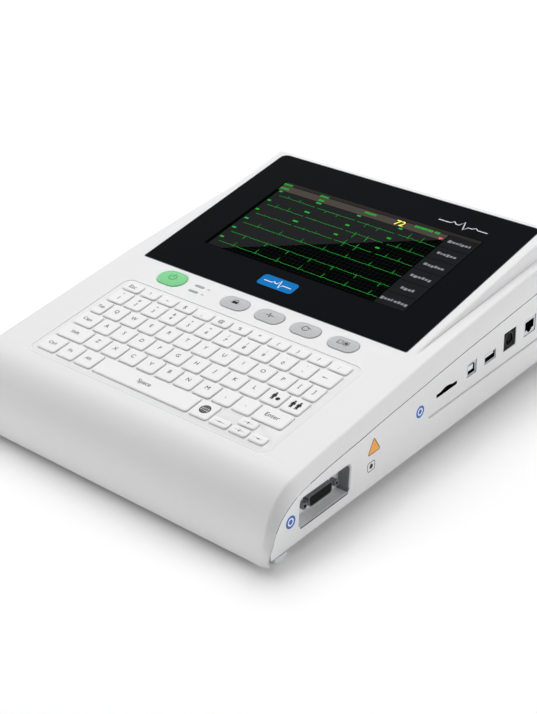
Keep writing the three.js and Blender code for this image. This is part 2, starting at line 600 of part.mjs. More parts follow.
const powerSupply = () => add(
  box(-124, -70, 206, 300, 9, 11),
  box(-120, -98, 212, 240, 10.9, 30),
  box(-94, -76, 212, 262, 10.9, 27),
  box(-120, -100, 246, 292, 10.9, 24),
  rodZ(8, 10.9, 29, -85, 280, 20));

const batteryDoor = () => cut(
  slab(roundRect(-60, 60, 119, 201, 0.3, 1), BASE_Z, BASE_Z + 2),
  slab(stadium(0, 190, 16, 3, 3), BASE_Z - 1, BASE_Z + 1.2),
  slab(stadium(0, 184, 22, 3, 3), BASE_Z - 1, BASE_Z + 1.2));

function speaker() {
  // radius, z
  const profile = [
    [0, 7.6], [17, 7.6], [18, 8.6], [18, 10], [15, 11.5], [12, 15.5], [12, 19.5], [0, 19.5],
  ].map(([radius, z]) => new THREE.Vector2(radius, z));
  const geometry = new THREE.LatheGeometry(profile, 28).applyMatrix4(SWAP_YZ);
  return solid(geometry.translate(-100, 100, 0));
}

// ---------- patient-cable connector ----------
const connectorShell = () => cut(
  add(
    across(stadiumFlange(), 141.5, 142.5),
    across(connectorOutline(25, 8.6, 2.2), 142.4, 147.4)),
  across(connectorOutline(23.8, 7.6, 1.8), 140, 149),
  ...connectorRods(1.6, 140, 143));

function stadiumFlange() {
  const { y, z } = CONNECTOR;
  return roundRect(y - 19.6, y + 19.6, z - 6.2, z + 6.2, 1.5, 2);
}

function connectorInsert() {
  const contactRow = (count, firstY, lowZ) => Array.from({ length: count }, (_, i) => {
    const y = CONNECTOR.y + firstY + 2.76 * i, z = CONNECTOR.z + lowZ;
    return across(roundRect(y, y + 0.9, z, z + 0.9, 0.1, 1), 144, 149);
  });
  return cut(
    add(
      across(connectorOutline(23.2, 7, 1.5), 142, 147.1),
      across(connectorOutline(21.4, 6.6, 1.3), 131.5, 142.2)),
    ...contactRow(8, -10.1, 1.1),
    ...contactRow(7, -8.7, -2));
}

function jackscrew(side) {
  const y = CONNECTOR.y + side * CONNECTOR.screwOffset, { z } = CONNECTOR;
  return cut(
    add(rodX(2.75, 142.8, 147.6, y, z, 6), rodX(1.3, 137.5, 142.9, y, z, 12)),
    rodX(1.3, 144, 149, y, z, 12));
}

// ---------- ports ----------
const portBody = (bounds, depth, radius = 0.5) => (
  across(roundRect(...bounds, radius, 1), PORT_FACE - depth, PORT_FACE));

const sdCardSlot = () => cut(
  across(roundRect(187.5, 214.7, 37.5, 42.9, 0.4, 1), 120, 146.6),
  box(122, 150, 189, 213.2, 40, 42.2));

function usbBPort() {
  const [y, z] = centre(PORTS.usbB);
  const mouth = [[-4.3, -4], [4.3, -4], [4.3, 2], [2.6, 4], [-2.6, 4], [-4.3, 2]];
  return add(
    cut(portBody(PORTS.usbB, 16), across(offset(mouth, [y, z]), PORT_FACE - 9, PORT_FACE + 2)),
    box(PORT_FACE - 9.5, PORT_FACE - 0.8, y - 2.9, y + 2.9, z - 1.4, z + 1.4));
}

function usbAPort() {
  const [y0, y1, z0, z1] = PORTS.usbA, [, z] = centre(PORTS.usbA);
  const mouth = roundRect(y0 + 0.8, y1 - 0.8, z0 + 1, z1 - 1, 0.3, 1);
  return add(
    cut(portBody(PORTS.usbA, 17), across(mouth, PORT_FACE - 11, PORT_FACE + 2)),
    box(PORT_FACE - 11.5, PORT_FACE - 1, y0 + 1.9, y1 - 1.9, z + 0.3, z + 2));
}

function roundDataPort() {
  const [y, z] = centre(PORTS.round);
  const disc = (radius, back, front) => (
    rodX(radius, PORT_FACE + back, PORT_FACE + front, y, z, 28));
  const groove = cut(disc(5.6, -7, 2), disc(4.4, -8, -0.4));
  return add(
    cut(portBody(PORTS.round, 14, 0.8), groove, disc(4.3, -1.2, 2)),
    box(PORT_FACE - 1.3, PORT_FACE - 0.5, y - 1, y + 1, z - 3.4, z - 2.2));
}

function ethernetPort() {
  const mouth = [[-6, -3.2], [-3.1, -3.2], [-3.1, -4.6], [-1.6, -4.6], [-1.6, -5.6], [1.6, -5.6],
    [1.6, -4.6], [3.1, -4.6], [3.1, -3.2], [6, -3.2], [6, 4.2], [-6, 4.2]];
  return cut(portBody(PORTS.ethernet, 18),
    across(offset(mouth, centre(PORTS.ethernet)), PORT_FACE - 12, PORT_FACE + 2));
}

// ---------- mains side ----------
function mainsInlet() {
  const [y, z] = centre(INLET);
  const mouth = [[-11.6, -7.6], [11.6, -7.6], [11.6, 3.6], [7.8, 7.6], [-7.8, 7.6], [-11.6, 3.6]];
  return add(
    cut(across(roundRect(...INLET, 1.2, 2), -HALF_WIDTH + 0.3, -127),
      across(offset(mouth, [y, z]), -HALF_WIDTH - 1, -134)),
    box(-149, -133.5, y - 8.6, y - 6.6, z - 2, z + 2),
    box(-149, -133.5, y + 6.6, y + 8.6, z - 2, z + 2),
    box(-149.6, -133.5, y - 1, y + 1, z + 1, z + 5));
}

function switchBody() {
  const [y, z] = centre(SWITCH);
  return cut(across(roundRect(...SWITCH, 1, 2), -HALF_WIDTH + 0.3, -131),
    box(-154, -136, y - 9.9, y + 9.9, z - 6.3, z + 6.3));
}

function switchRocker() {
  // distance along the rocker, height outwards from its axis
  const profile = [[-8.4, 6.1], [-4, 5.35], [0, 5.1], [4, 5.35], [8.4, 6.1], [8.1, -1.5],
    [3, -2.4], [-3, -2.4], [-8.1, -1.5]];
  const tilt = rad(8);
  const frame = new THREE.Matrix4().makeTranslation(-HALF_WIDTH + 7.8, ...centre(SWITCH))
    .multiply(new THREE.Matrix4().makeRotationZ(Math.PI / 2 + tilt));
  return slab(profile, -6, 6, frame);
}

const earthStud = () => cut(
  add(
    rodX(5.8, -150.9, -150.2, ...EARTH, 20),
    rodX(3, -HALF_WIDTH, -150.3, ...EARTH, 16),
    rodX(1.9, -150.4, -141, ...EARTH, 12)),
  rodX(1.2, -152, -150.7, ...EARTH, 8));

// ---------- feet and screws ----------
const foot = (x, y) => loft([[0.6, 0], [0, 0.6], [0, 4.4]].map(([inset, z]) => (
  roundRect(...grow([x - 9.5, x + 9.5, y - 7, y + 7], -inset), 2.5, 3).map((p) => [...p, z]))));

const caseScrew = (x, y) => cut(
  add(rodZ(3.2, 4.9, 6.8, x, y, 16), rodZ(1.5, 6.7, 18, x, y, 12)),
  box(x - 2.2, x + 2.2, y - 0.4, y + 0.4, 4, 6),
  box(x - 0.4, x + 0.4, y - 2.2, y + 2.2, 4, 6));

// ---------- materials ----------
const FINISHES = {
  white: { color: '#e9eaec', roughness: 0.42 },
  light: { color: '#eef0f1', roughness: 0.5 },
  grey: { color: '#c3c5c8', roughness: 0.45 },
  green: { color: '#7fd28e', roughness: 0.4 },
  glass: { color: '#111417', roughness: 0.08 },
  black: { color: '#17181a', roughness: 0.45 },
  dark: { color: '#2b2d30', roughness: 0.5 },
  blue: { color: '#3b6ea5', roughness: 0.5 },
  board: { color: '#1d5a3a', roughness: 0.6 },
  rubber: { color: '#3a3c3f', roughness: 0.85 },
  paper: { color: '#f4f1ea', roughness: 0.9 },
  steel: { color: '#b9bcc0', roughness: 0.3, metalness: 1 },
  brass: { color: '#c9a86a', roughness: 0.35, metalness: 1 },
  aluminium: { color: '#a9acb0', roughness: 0.4, metalness: 1 },
  zinc: { color: '#9fa3a8', roughness: 0.35, metalness: 1 },
};

// ---------- assembly ----------
const CREASE = rad(30);
const group = new THREE.Group();
group.name = 'ecg_recorder';

function part(name, body, finish) {
  const { vertProperties, triVerts } = body.getMesh();
  const geometry = new THREE.BufferGeometry();
  geometry.setAttribute('position', new THREE.Float32BufferAttribute(vertProperties, 3));
  geometry.setIndex(new THREE.Uint32BufferAttribute(triVerts, 1));
  geometry.translate(0, -ORIGIN_Y, 0);
  const material = new THREE.MeshStandardMaterial(FINISHES[finish]);
  material.name = `${name}_mat`;
  const mesh = new THREE.Mesh(toCreasedNormals(geometry, CREASE), material);
  mesh.name = name;
  group.add(mesh);
}

part('lower_case', lowerCase(), 'white');
part('top_cover', topCover(), 'white');
part('keyboard_panel', inKeyFrame(keyboardPanel()), 'light');
part('display_glass', slab(
  roundRect(...GLASS_BOUNDS, GLASS.rearR - GAP, 5, GLASS.frontR - GAP),
  -0.1 - GLASS.thick, -0.1, GLASS_FRAME), 'glass');
part('lcd_module', add(
  slab(roundRect(-104, 104, onGlass(208), onGlass(334), 1.5, 1), -9, -3.3, GLASS_FRAME),
  box(-90, 90, onGlass(222), onGlass(322), -10.4, -8.9, GLASS_FRAME)), 'steel');
part('main_board', mainBoard(), 'board');
part('keyboard_board', keyboardBoard(), 'board');
part('ecg_board', add(
  box(58, 130.5, 34, 104, 20, 21.6), box(72, 122, 44, 96, 21.5, 28)), 'board');
part('power_supply', powerSupply(), 'dark');
part('battery_pack', cut(
  slab(roundRect(-56, 56, 122, 198, 4, 2), 8, 29), box(-40, 40, 119, 123, 20, 26)), 'blue');
part('battery_door', batteryDoor(), 'white');
part('speaker', speaker(), 'black');
part('printer_chassis', printerChassis(), 'dark');
part('paper_pack', add(
  box(-105, 105, 209, 349, 41.5, 56.5), box(-104.6, 104.6, 209.4, 348.6, 56.4, 57.6)), 'paper');
part('print_head', add(
  box(-107, 107, 338.5, 345, 65, 79),
  box(-107, 107, 331, 338.6, 74, 76),
  box(-107, 107, 344.9, 346.3, 68, 72)), 'aluminium');
part('platen_roller', platenRoller(), 'rubber');
part('motor_pinion', motorPinion(), 'brass');
part('stepper_motor', stepperMotor(), 'zinc');
part('printer_door', printerDoor(), 'white');
part('hinge_rod', rodX(1, -111, 111, HINGE.y, HINGE.z, 16), 'steel');
part('door_latch', doorLatch(), 'grey');
part('ecg_connector_shell', connectorShell(), 'steel');
part('ecg_connector_insert', connectorInsert(), 'black');
part('jackscrew_front', jackscrew(-1), 'steel');
part('jackscrew_rear', jackscrew(1), 'steel');
part('sd_card_slot', sdCardSlot(), 'steel');
part('usb_b_port', usbBPort(), 'steel');
part('usb_a_port', usbAPort(), 'steel');
part('round_data_port', roundDataPort(), 'black');
part('ethernet_port', ethernetPort(), 'steel');
part('mains_inlet', mainsInlet(), 'black');
part('mains_switch_body', switchBody(), 'black');
part('mains_switch_rocker', switchRocker(), 'dark');
part('equipotential_stud', earthStud(), 'brass');
for (const [end, x, y] of [['front', 140, 18], ['rear', 124, 296]]) {
  part(`foot_${end}_left`, foot(-x, y), 'rubber');
  part(`foot_${end}_right`, foot(x, y), 'rubber');
}
PILLARS.forEach(([x, y], i) => part(`case_screw_${i + 1}`, caseScrew(x, y), 'zinc'));
for (const button of BUTTONS) part(button.name, inKeyFrame(domedButton(button)), button.finish);
for (const [name, y] of LEDS) {
  const lens = slab(stadium(LED.x, onKeys(y), LED.width, LED.height, 3), -4, 0.15);
  part(name, inKeyFrame(lens), 'grey');
}
for (const strip of KEY_STRIPS) part(strip[0], inKeyFrame(keyStrip(keyBounds(strip))), 'light');

export default group;
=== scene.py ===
# A portable ECG recorder: a low white case with a sloping keyboard in front, a sloping
# black screen behind it and sockets along the right side.
# World: x to the right, y to the back, z up, feet on z = 0, front edge at y = -184.75 mm.
# The measurements below are in millimetres and count y from the front edge, the place
# functions turn them into world metres. Materials, floor, lights and CAD meshes are in metres.
import bpy, bmesh, math, random
from mathutils import Vector, Matrix


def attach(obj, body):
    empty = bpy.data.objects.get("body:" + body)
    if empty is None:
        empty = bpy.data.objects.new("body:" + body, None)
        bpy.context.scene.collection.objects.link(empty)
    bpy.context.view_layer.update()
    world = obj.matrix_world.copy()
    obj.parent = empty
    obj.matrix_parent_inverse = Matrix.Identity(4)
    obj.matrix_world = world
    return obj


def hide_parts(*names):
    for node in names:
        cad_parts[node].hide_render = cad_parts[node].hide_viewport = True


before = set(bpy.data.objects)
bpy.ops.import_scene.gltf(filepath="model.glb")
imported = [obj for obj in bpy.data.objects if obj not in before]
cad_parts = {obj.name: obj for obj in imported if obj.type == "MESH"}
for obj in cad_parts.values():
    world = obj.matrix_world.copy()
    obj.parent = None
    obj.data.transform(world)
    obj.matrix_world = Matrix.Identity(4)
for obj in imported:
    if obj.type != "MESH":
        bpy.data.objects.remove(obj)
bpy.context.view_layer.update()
random.seed(7)

FRONT = 184.75                                # from the world origin to the front edge
SIDE_X = 151.2                                # right side wall
KEYS_Z, KEYS_TILT = 47.63, math.atan(0.128)   # keyboard plane: height at y = 0, slope
GLASS_Z, GLASS_TILT = 41.15, math.atan(0.1634)


# ---------------------------------------------------------------- planes to draw on
def tilted(x, y, w, z_front, tilt):
    """A point at plan position x, y on a sloping plane, raised w square to it."""
    along = y / math.cos(tilt)
    return Vector((x,
                   along * math.cos(tilt) - w * math.sin(tilt) - FRONT,
                   z_front + along * math.sin(tilt) + w * math.cos(tilt))) / 1000


def on_keys(x, y, w):
    return tilted(x, y, w, KEYS_Z, KEYS_TILT)


def on_glass(x, y, w):
    return tilted(x, y, w, GLASS_Z, GLASS_TILT)


def on_side(y, z, w):
    """The right wall: y runs back, z up and w outward."""
    return Vector((SIDE_X + w, y - FRONT, z)) / 1000


# ---------------------------------------------------------------- materials
MAT = {}


def linear_rgb(rgb):
    return tuple((v / 255) / 12.92 if v <= 10 else (((v / 255) + 0.055) / 1.055) ** 2.4
                 for v in rgb)


def add_node(tree, kind, operation=None, **inputs):
    """Adds a shader node. Underscores in input names stand for spaces."""
    node = tree.nodes.new("ShaderNode" + kind)
    if operation:
        node.operation = operation
    for key, value in inputs.items():
        node.inputs[key.replace("_", " ")].default_value = value
    return node


def material(name, rgb, rough=0.45, metal=0.0, grain=900.0, bump=0.05, tint=0.03,
             rough_var=0.08, edge_lightening=0.0, coat=0.0, emit=0.0, stretch=(1, 1, 1), spec=0.5):
    """Fine noise (grain) drives the bump, broad noise varies colour (tint) and roughness,
    and edge_lightening lightens the convex edges that pointiness finds."""
    made = bpy.data.materials.new(name)
    made.use_nodes = True
    tree = made.node_tree
    join = tree.links.new
    shader = tree.nodes["Principled BSDF"]
    base = linear_rgb(rgb)
    coords = add_node(tree, "TexCoord")
    mapping = add_node(tree, "Mapping", Scale=stretch)
    fine = add_node(tree, "TexNoise", Scale=grain, Detail=3)
    broad = add_node(tree, "TexNoise", Scale=14.0, Detail=5)
    join(coords.outputs["Object"], mapping.inputs["Vector"])
    join(mapping.outputs[0], fine.inputs["Vector"])
    join(coords.outputs["Object"], broad.inputs["Vector"])

    shade = add_node(tree, "MapRange", To_Min=1 - tint, To_Max=1 + tint)
    join(broad.outputs["Fac"], shade.inputs["Value"])
    tinted = add_node(tree, "VectorMath", operation="SCALE")
    tinted.inputs[0].default_value = base
    join(shade.outputs[0], tinted.inputs["Scale"])
    colour = tinted.outputs[0]
    # lightens the convex edges that pointiness finds, towards a paler colour
    if edge_lightening:
        geometry = add_node(tree, "NewGeometry")
        edges = add_node(tree, "MapRange", From_Min=0.52, From_Max=0.64)
        join(geometry.outputs["Pointiness"], edges.inputs["Value"])
        amount = add_node(tree, "Math", operation="MULTIPLY")
        amount.inputs[1].default_value = edge_lightening
        join(edges.outputs[0], amount.inputs[0])
        lighter = (*[min(1, c * 1.25 + 0.04) for c in base], 1)
        edges_lightened = add_node(tree, "MixRGB", Color2=lighter)
        join(amount.outputs[0], edges_lightened.inputs["Fac"])
        join(colour, edges_lightened.inputs["Color1"])
        colour = edges_lightened.outputs[0]
    join(colour, shader.inputs["Base Color"])

    gloss = add_node(tree, "MapRange", To_Min=max(0.02, rough - rough_var),
                     To_Max=min(1, rough + rough_var))
    join(broad.outputs["Fac"], gloss.inputs["Value"])
    join(gloss.outputs[0], shader.inputs["Roughness"])
    relief = add_node(tree, "Bump", Strength=bump, Distance=0.0002)
    join(fine.outputs["Fac"], relief.inputs["Height"])
    join(relief.outputs[0], shader.inputs["Normal"])
    for key, value in {"Metallic": metal, "Coat Weight": coat, "Coat Roughness": 0.08,
                       "Specular IOR Level": spec}.items():
        shader.inputs[key].default_value = value
    if emit:
        join(colour, shader.inputs["Emission Color"])
        shader.inputs["Emission Strength"].default_value = emit
    made.diffuse_color = (*base, 1)
    MAT[name] = made


# case, keys and buttons
material("shell_white", (229, 229, 230), rough=0.36, grain=2600, bump=0.03, tint=0.008,
         rough_var=0.04, edge_lightening=0.3, coat=0.12)
material("case_white", (220, 220, 221), rough=0.46, grain=2200, bump=0.06, tint=0.012,
         rough_var=0.06, edge_lightening=0.2)
material("panel_white", (231, 231, 232), rough=0.5, grain=2400, tint=0.01)
material("key_white", (236, 236, 236), rough=0.42, grain=2600, tint=0.01, rough_var=0.06, edge_lightening=0.2)
material("legend_ink", (26, 27, 30), rough=0.6, tint=0.1, bump=0.02)
material("legend_dark", (24, 24, 27), rough=0.6, tint=0.1, bump=0.02)
material("button_grey", (187, 188, 190), rough=0.42, grain=1800, bump=0.08, tint=0.02, edge_lightening=0.25)
material("button_green", (126, 206, 143), rough=0.4, grain=1800, bump=0.08, tint=0.025, edge_lightening=0.2)
material("icon_green", (58, 140, 82), rough=0.5)
material("glass_black", (11, 14, 17), rough=0.12, grain=300, bump=0.004, tint=0.1,
         rough_var=0.03, spec=0.022)
material("trim_grey", (96, 99, 103), rough=0.3, tint=0.02)
material("foot_grey", (214, 215, 217), rough=0.8, grain=1500, bump=0.3, tint=0.06)
# openings and sockets
# black: the plastic of the ECG connector insert and the round port, and painted shade on the inner
# faces of the sockets and of the SD slot
material("black_insert_and_cavity_shade", (6, 6, 7), rough=0.6, grain=1400, bump=0.15, tint=0.15, spec=0.15)
# painted light: a lighter copy of the case white for the walls and floor of the connector recess
material("recess_painted_light", (236, 236, 238), rough=0.55, grain=1800, bump=0.1, tint=0.02)
# painted shade: a darker copy of the case white for the recess end wall that faces the front
material("recess_painted_shade", (128, 129, 132), rough=0.6, grain=1800, bump=0.1)
material("connector_shell", (116, 118, 122), rough=0.3, metal=1.0, grain=600, bump=0.1, tint=0.06)
# painted shade: dark grey on the case's upward faces at the side seams, so the gap under the cover
# reads dark
material("seam_painted_shade", (72, 73, 75), rough=0.6, grain=1800, bump=0.1, tint=0.04)
material("socket_tongue", (226, 227, 229), grain=1800, bump=0.06)
material("socket_ring", (84, 86, 90), rough=0.4, metal=1.0, grain=600, bump=0.1, tint=0.06)
# working parts
material("nickel_plate", (196, 198, 202), rough=0.28, metal=1.0, grain=500, bump=0.12, tint=0.06,
         rough_var=0.1, stretch=(1, 8, 1))
material("zinc_plate", (176, 178, 184), rough=0.36, metal=1.0, grain=700, bump=0.15, tint=0.08,
         rough_var=0.12)
material("brass_satin", (206, 170, 96), rough=0.32, metal=1.0, grain=600, bump=0.1, tint=0.06)
material("aluminium_extruded", (184, 186, 190), rough=0.38, metal=1.0, grain=500, bump=0.2,
         tint=0.05, stretch=(1, 30, 30))
material("black_moulding", (13, 13, 15), grain=1600, bump=0.12, tint=0.15, rough_var=0.1,
         edge_lightening=0.1, spec=0.25)
material("dark_chassis", (48, 50, 54), rough=0.6, grain=1500, bump=0.2, tint=0.1, edge_lightening=0.2)
material("solder_mask", (28, 92, 58), rough=0.4, grain=800, bump=0.15, tint=0.12, rough_var=0.1)
material("rubber_dark", (52, 54, 57), rough=0.85, grain=1500, bump=0.35, tint=0.12)
material("thermal_paper", (246, 243, 236), rough=0.85, bump=0.3, tint=0.02, stretch=(1, 1, 30))
material("battery_film", (46, 92, 150), rough=0.3, grain=200, bump=0.1, tint=0.08, coat=0.3)
material("light_pipe", (158, 161, 164), rough=0.3, tint=0.05, coat=0.3)
# printed marks
material("mark_blue", (10, 92, 176), rough=0.4, bump=0.02, tint=0.05)
material("mark_white", (232, 236, 242), bump=0.02, tint=0.02)
material("mark_orange", (236, 160, 62), rough=0.4, bump=0.02, tint=0.04)
material("tag_blue", (8, 114, 186), rough=0.4, bump=0.01, tint=0.05, spec=0.05)
material("tag_white", (236, 240, 244), rough=0.3)
material("print_white", (214, 218, 222), rough=0.35)
# lit screen colours: name, rgb, emission strength. The sheen is a painted reflection: glare on the
# glass drawn as a lighter, glowing patch.
for shade_name, rgb, glow in (
        ("black", (3, 4, 4), 0.1), ("sheen", (31, 32, 33), 0.2), ("bar", (66, 62, 57), 0.25),
        ("bar_dark", (42, 39, 37), 0.2), ("menu", (28, 29, 31), 0.2), ("grid", (30, 34, 32), 0.2),
        ("green", (34, 144, 48), 0.5), ("yellow", (236, 232, 104), 0.7),
        ("text", (128, 130, 133), 0.2), ("red", (190, 90, 90), 0.4)):
    material("screen_" + shade_name, rgb, rough=0.14, grain=500, bump=0.003, tint=0.04,
             rough_var=0.02, emit=glow, spec=0.0)
material("floor_white", (246, 246, 246), rough=0.7, grain=40, bump=0.0, tint=0.002,
         rough_var=0.05, spec=0.2)


# ---------------------------------------------------------------- outlines
def rect(x0, x1, y0, y1):
    return [(x0, y0), (x1, y0), (x1, y1), (x0, y1)]


def round_rect(x0, x1, y0, y1, radius, steps=6, low_radius=None):
    """low_radius rounds the two corners at y0 when it differs."""
    low = radius if low_radius is None else low_radius
    points = []
    for cx, cy, start, r in ((x1 - radius, y1 - radius, 0, radius),
                             (x0 + radius, y1 - radius, 90, radius),
                             (x0 + low, y0 + low, 180, low),
                             (x1 - low, y0 + low, 270, low)):
        for i in range(steps + 1):
            t = math.radians(start + 90 * i / steps)
            points.append((cx + r * math.cos(t), cy + r * math.sin(t)))
    return points


def disc(cx, cy, radius, steps):
    return [(cx + radius * math.cos(2 * math.pi * i / steps),
             cy + radius * math.sin(2 * math.pi * i / steps)) for i in range(steps)]


def arc(cx, cy, radius, start, end, steps, squeeze=1):
    """Points from start to end degrees. squeeze narrows the arc in x."""
    angles = [math.radians(start + (end - start) * i / steps) for i in range(steps + 1)]
    return [(cx + radius * squeeze * math.cos(t), cy + radius * math.sin(t)) for t in angles]


def closed(points):
    return points + points[:1]


def spaced(start, stop, step):
    return [start + step * i for i in range(math.ceil((stop - start) / step))]


# ---------------------------------------------------------------- mesh helpers
def link(ob):
    bpy.context.scene.collection.objects.link(ob)
    return ob


def mesh_object(bm, name, finish, smooth=None):
    """Turns bm into an object. smooth is the angle in degrees above which edges stay sharp."""
    bmesh.ops.recalc_face_normals(bm, faces=bm.faces)
    mesh = bpy.data.meshes.new(name)
    bm.to_mesh(mesh)
    bm.free()
    if smooth:
        for face in mesh.polygons:
            face.use_smooth = True
        mesh.set_sharp_from_angle(angle=math.radians(smooth))
    ob = link(bpy.data.objects.new(name, mesh))
    mesh.materials.append(MAT[finish])
    return ob


def riding(bm, name, finish, carrier="chassis", smooth=None):
    ob = mesh_object(bm, name, finish, smooth)
    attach(ob, carrier)
    return ob


def curve_to_mesh(curve):
    ob = link(bpy.data.objects.new("outline", curve))
    bpy.context.view_layer.update()
    mesh = bpy.data.meshes.new_from_object(
        ob.evaluated_get(bpy.context.evaluated_depsgraph_get()))
    bpy.data.objects.remove(ob)
    bpy.data.curves.remove(curve)
    return mesh


def add_rows(bm, rows):
    return [[bm.verts.new(point) for point in row] for row in rows]


def bridge(bm, a, b):
    n = len(a)
    for j in range(n):
        bm.faces.new((a[j], a[(j + 1) % n], b[(j + 1) % n], b[j]))


def loft(bm, rows):
    """Skins a stack of rings and caps both ends."""
    rings = add_rows(bm, rows)
    for a, b in zip(rings, rings[1:]):
        bridge(bm, a, b)
    bm.faces.new(rings[0][::-1])
    bm.faces.new(rings[-1])


def closed_band(rows):
    """A new mesh that skins a stack of rings and joins the last one to the first."""
    bm = bmesh.new()
    rings = add_rows(bm, rows)
    for a, b in zip(rings, rings[1:] + rings[:1]):
        bridge(bm, a, b)
    return bm


class Pen:
    """Draws flat solid shapes on a plane, from height bottom to top, into one mesh."""

    def __init__(self, place, bottom, top, bm=None):
        self.place, self.bottom, self.top = place, bottom, top
        self.bm = bm or bmesh.new()

    def at(self, bottom, top):
        """A pen for other heights on the same mesh."""
        return Pen(self.place, bottom, top, self.bm)

    def verts(self, points, w):
        return [self.bm.verts.new(self.place(x, y, w)) for x, y in points]

    def plate(self, points, lift=0.0):
        loft(self.bm, [[self.place(x, y, w) for x, y in points]
                       for w in (self.bottom, self.top + lift)])

    def ribbon(self, points, width, lift=0.0):
        half = width / 2
        left, right = [], []
        for i, (x, y) in enumerate(points):
            before, after = points[max(i - 1, 0)], points[min(i + 1, len(points) - 1)]
            dx, dy = after[0] - before[0], after[1] - before[1]
            length = math.hypot(dx, dy)
            nx, ny = -dy / length * half, dx / length * half
            left.append((x + nx, y + ny))
            right.append((x - nx, y - ny))
        a, b = self.verts(left, self.top + lift), self.verts(right, self.top + lift)
        c, d = self.verts(left, self.bottom), self.verts(right, self.bottom)
        new_face = self.bm.faces.new
        for i in range(len(points) - 1):
            for p, q in ((a, b), (d, c), (c, a), (b, d)):
                new_face((p[i], p[i + 1], q[i + 1], q[i]))
        new_face((a[0], b[0], d[0], c[0]))
        new_face((b[-1], a[-1], c[-1], d[-1]))

    def text(self, words, x, y, size):
        font = bpy.data.curves.new("text", "FONT")
        font.body, font.size, font.resolution_u = words, 1, 3
        font.align_x = font.align_y = "CENTER"
        mesh = curve_to_mesh(font)
        points = [(x + v.co[0] * size, y + v.co[1] * size) for v in mesh.vertices]
        faces = [tuple(p.vertices) for p in mesh.polygons]
        bpy.data.meshes.remove(mesh)
        top, low = self.verts(points, self.top), self.verts(points, self.bottom)
        for face in faces:
            try:
                self.bm.faces.new([top[i] for i in face])
                self.bm.faces.new([low[i] for i in reversed(face)])
            except ValueError:  # guards against a glyph fill that repeats a face
                pass
        # walls stand on the edges that only one face uses
        edges = dict.fromkeys((a, b) for f in faces for a, b in zip(f, f[1:] + f[:1]))
        for a, b in edges:
            if (b, a) not in edges:
                self.bm.faces.new((top[b], top[a], low[a], low[b]))

    def finish(self, name, finish, carrier="chassis"):
        riding(self.bm, name, finish, carrier)


# ---------------------------------------------------------------- CAD parts
CAD_PARTS = {  # material: parts
    "shell_white": "top_cover",
    "case_white": "lower_case battery_door printer_door",
    "panel_white": "keyboard_panel",
    "glass_black": "display_glass",
    "nickel_plate": "lcd_module hinge_rod sd_card_slot usb_b_port usb_a_port ethernet_port",
    "solder_mask": "main_board keyboard_board ecg_board",
    "dark_chassis": "power_supply printer_chassis",
    "battery_film": "battery_pack",
    "black_moulding": "speaker mains_inlet mains_switch_body mains_switch_rocker",
    "thermal_paper": "paper_pack",
    "aluminium_extruded": "print_head",
    "rubber_dark": "platen_roller",
    "brass_satin": "motor_pinion equipotential_stud",
    "zinc_plate": "stepper_motor",
    "button_grey": "door_latch",
    "connector_shell": "ecg_connector_shell jackscrew_front jackscrew_rear",
    "black_insert_and_cavity_shade": "ecg_connector_insert round_data_port",
    "button_green": "power_button",
    "light_pipe": "led_mains led_battery",
}
PART_FINISH = {part: finish for finish, parts in CAD_PARTS.items() for part in parts.split()}
PREFIX_FINISH = {"foot": "foot_grey", "case_screw": "zinc_plate", "function": "button_grey"}
# Depth in metres of the bright rim on each socket; further in, the socket is painted black as
# shade in its cavity, and the SD slot is painted black all over.
SOCKET_RIM = {"usb_a_port": 0.0006, "ethernet_port": 0.0006, "usb_b_port": 0.003,
              "sd_card_slot": -math.inf}
ECG_SHELL_INNER_X = 0.1436  # metres, the connector shell is case white left of this


def part_finish(name):
    if name in PART_FINISH:
        return PART_FINISH[name]
    for prefix, finish in PREFIX_FINISH.items():
        if name.startswith(prefix):
            return finish
    return "key_white"


def add_slots(part, *finishes):
    for finish in finishes:
        part.data.materials.append(MAT[finish])


def shade_left_of(part, limit, finish):
    """Gives the faces whose world x is below limit a second material."""
    add_slots(part, finish)
    for face in part.data.polygons:
        if (part.matrix_world @ face.center).x < limit:
            face.material_index = 1


def shade_lower_case(part):
    """Paints light and shade into the lower case: lighter painted light on the connector recess
    walls, darker painted shade on its end wall that faces the front, black painted shade in the SD
    slot and dark painted shade on the upward edges of the side seams.
    """
    add_slots(part, "recess_painted_light", "black_insert_and_cavity_shade", "recess_painted_shade", "seam_painted_shade")
    turn = part.matrix_world.to_3x3()
    for face in part.data.polygons:
        x, y, z = part.matrix_world @ face.center * 1000
        y += FRONT
        normal = turn @ face.normal
        if abs(normal.x) < 0.5:
            # connector recess: painted light on its walls and floor, painted shade on the end wall
            # facing the front
            if 120 < x < 151 and 33 < y < 88 and 16 < z < 45:
                face.material_index = 3 if normal.y < -0.5 else 1
            # painted shade: the walls of the SD slot opening are painted black
            if 140 < x < 149.6 and 187 < y < 215 and 39 < z < 45:
                face.material_index = 2
        ledge = x > 0 and ((y > 170 and z < 31) or (30 < y < 90 and z < 22 and normal.z > 0.6))
        # painted shade on the upward faces along the side seams
        seam_shade_faces = abs(x) > 149 and z > 8 and normal.z > 0.5
        if seam_shade_faces and face.material_index == 0 and not ledge:
            face.material_index = 4


def soften(part, split_degrees):
    """Welds the mesh, merges flat faces and evens the shading."""
    weld = part.modifiers.new("weld", "WELD")
    weld.merge_threshold = 0.00002
    flats = part.modifiers.new("flats", "DECIMATE")
    flats.decimate_type = "DISSOLVE"
    flats.angle_limit = math.radians(0.6)
    edges = part.modifiers.new("edges", "EDGE_SPLIT")
    edges.split_angle = math.radians(split_degrees)
    normals = part.modifiers.new("normals", "WEIGHTED_NORMAL")
    normals.mode = "FACE_AREA"
    normals.weight = 70
    normals.keep_sharp = True


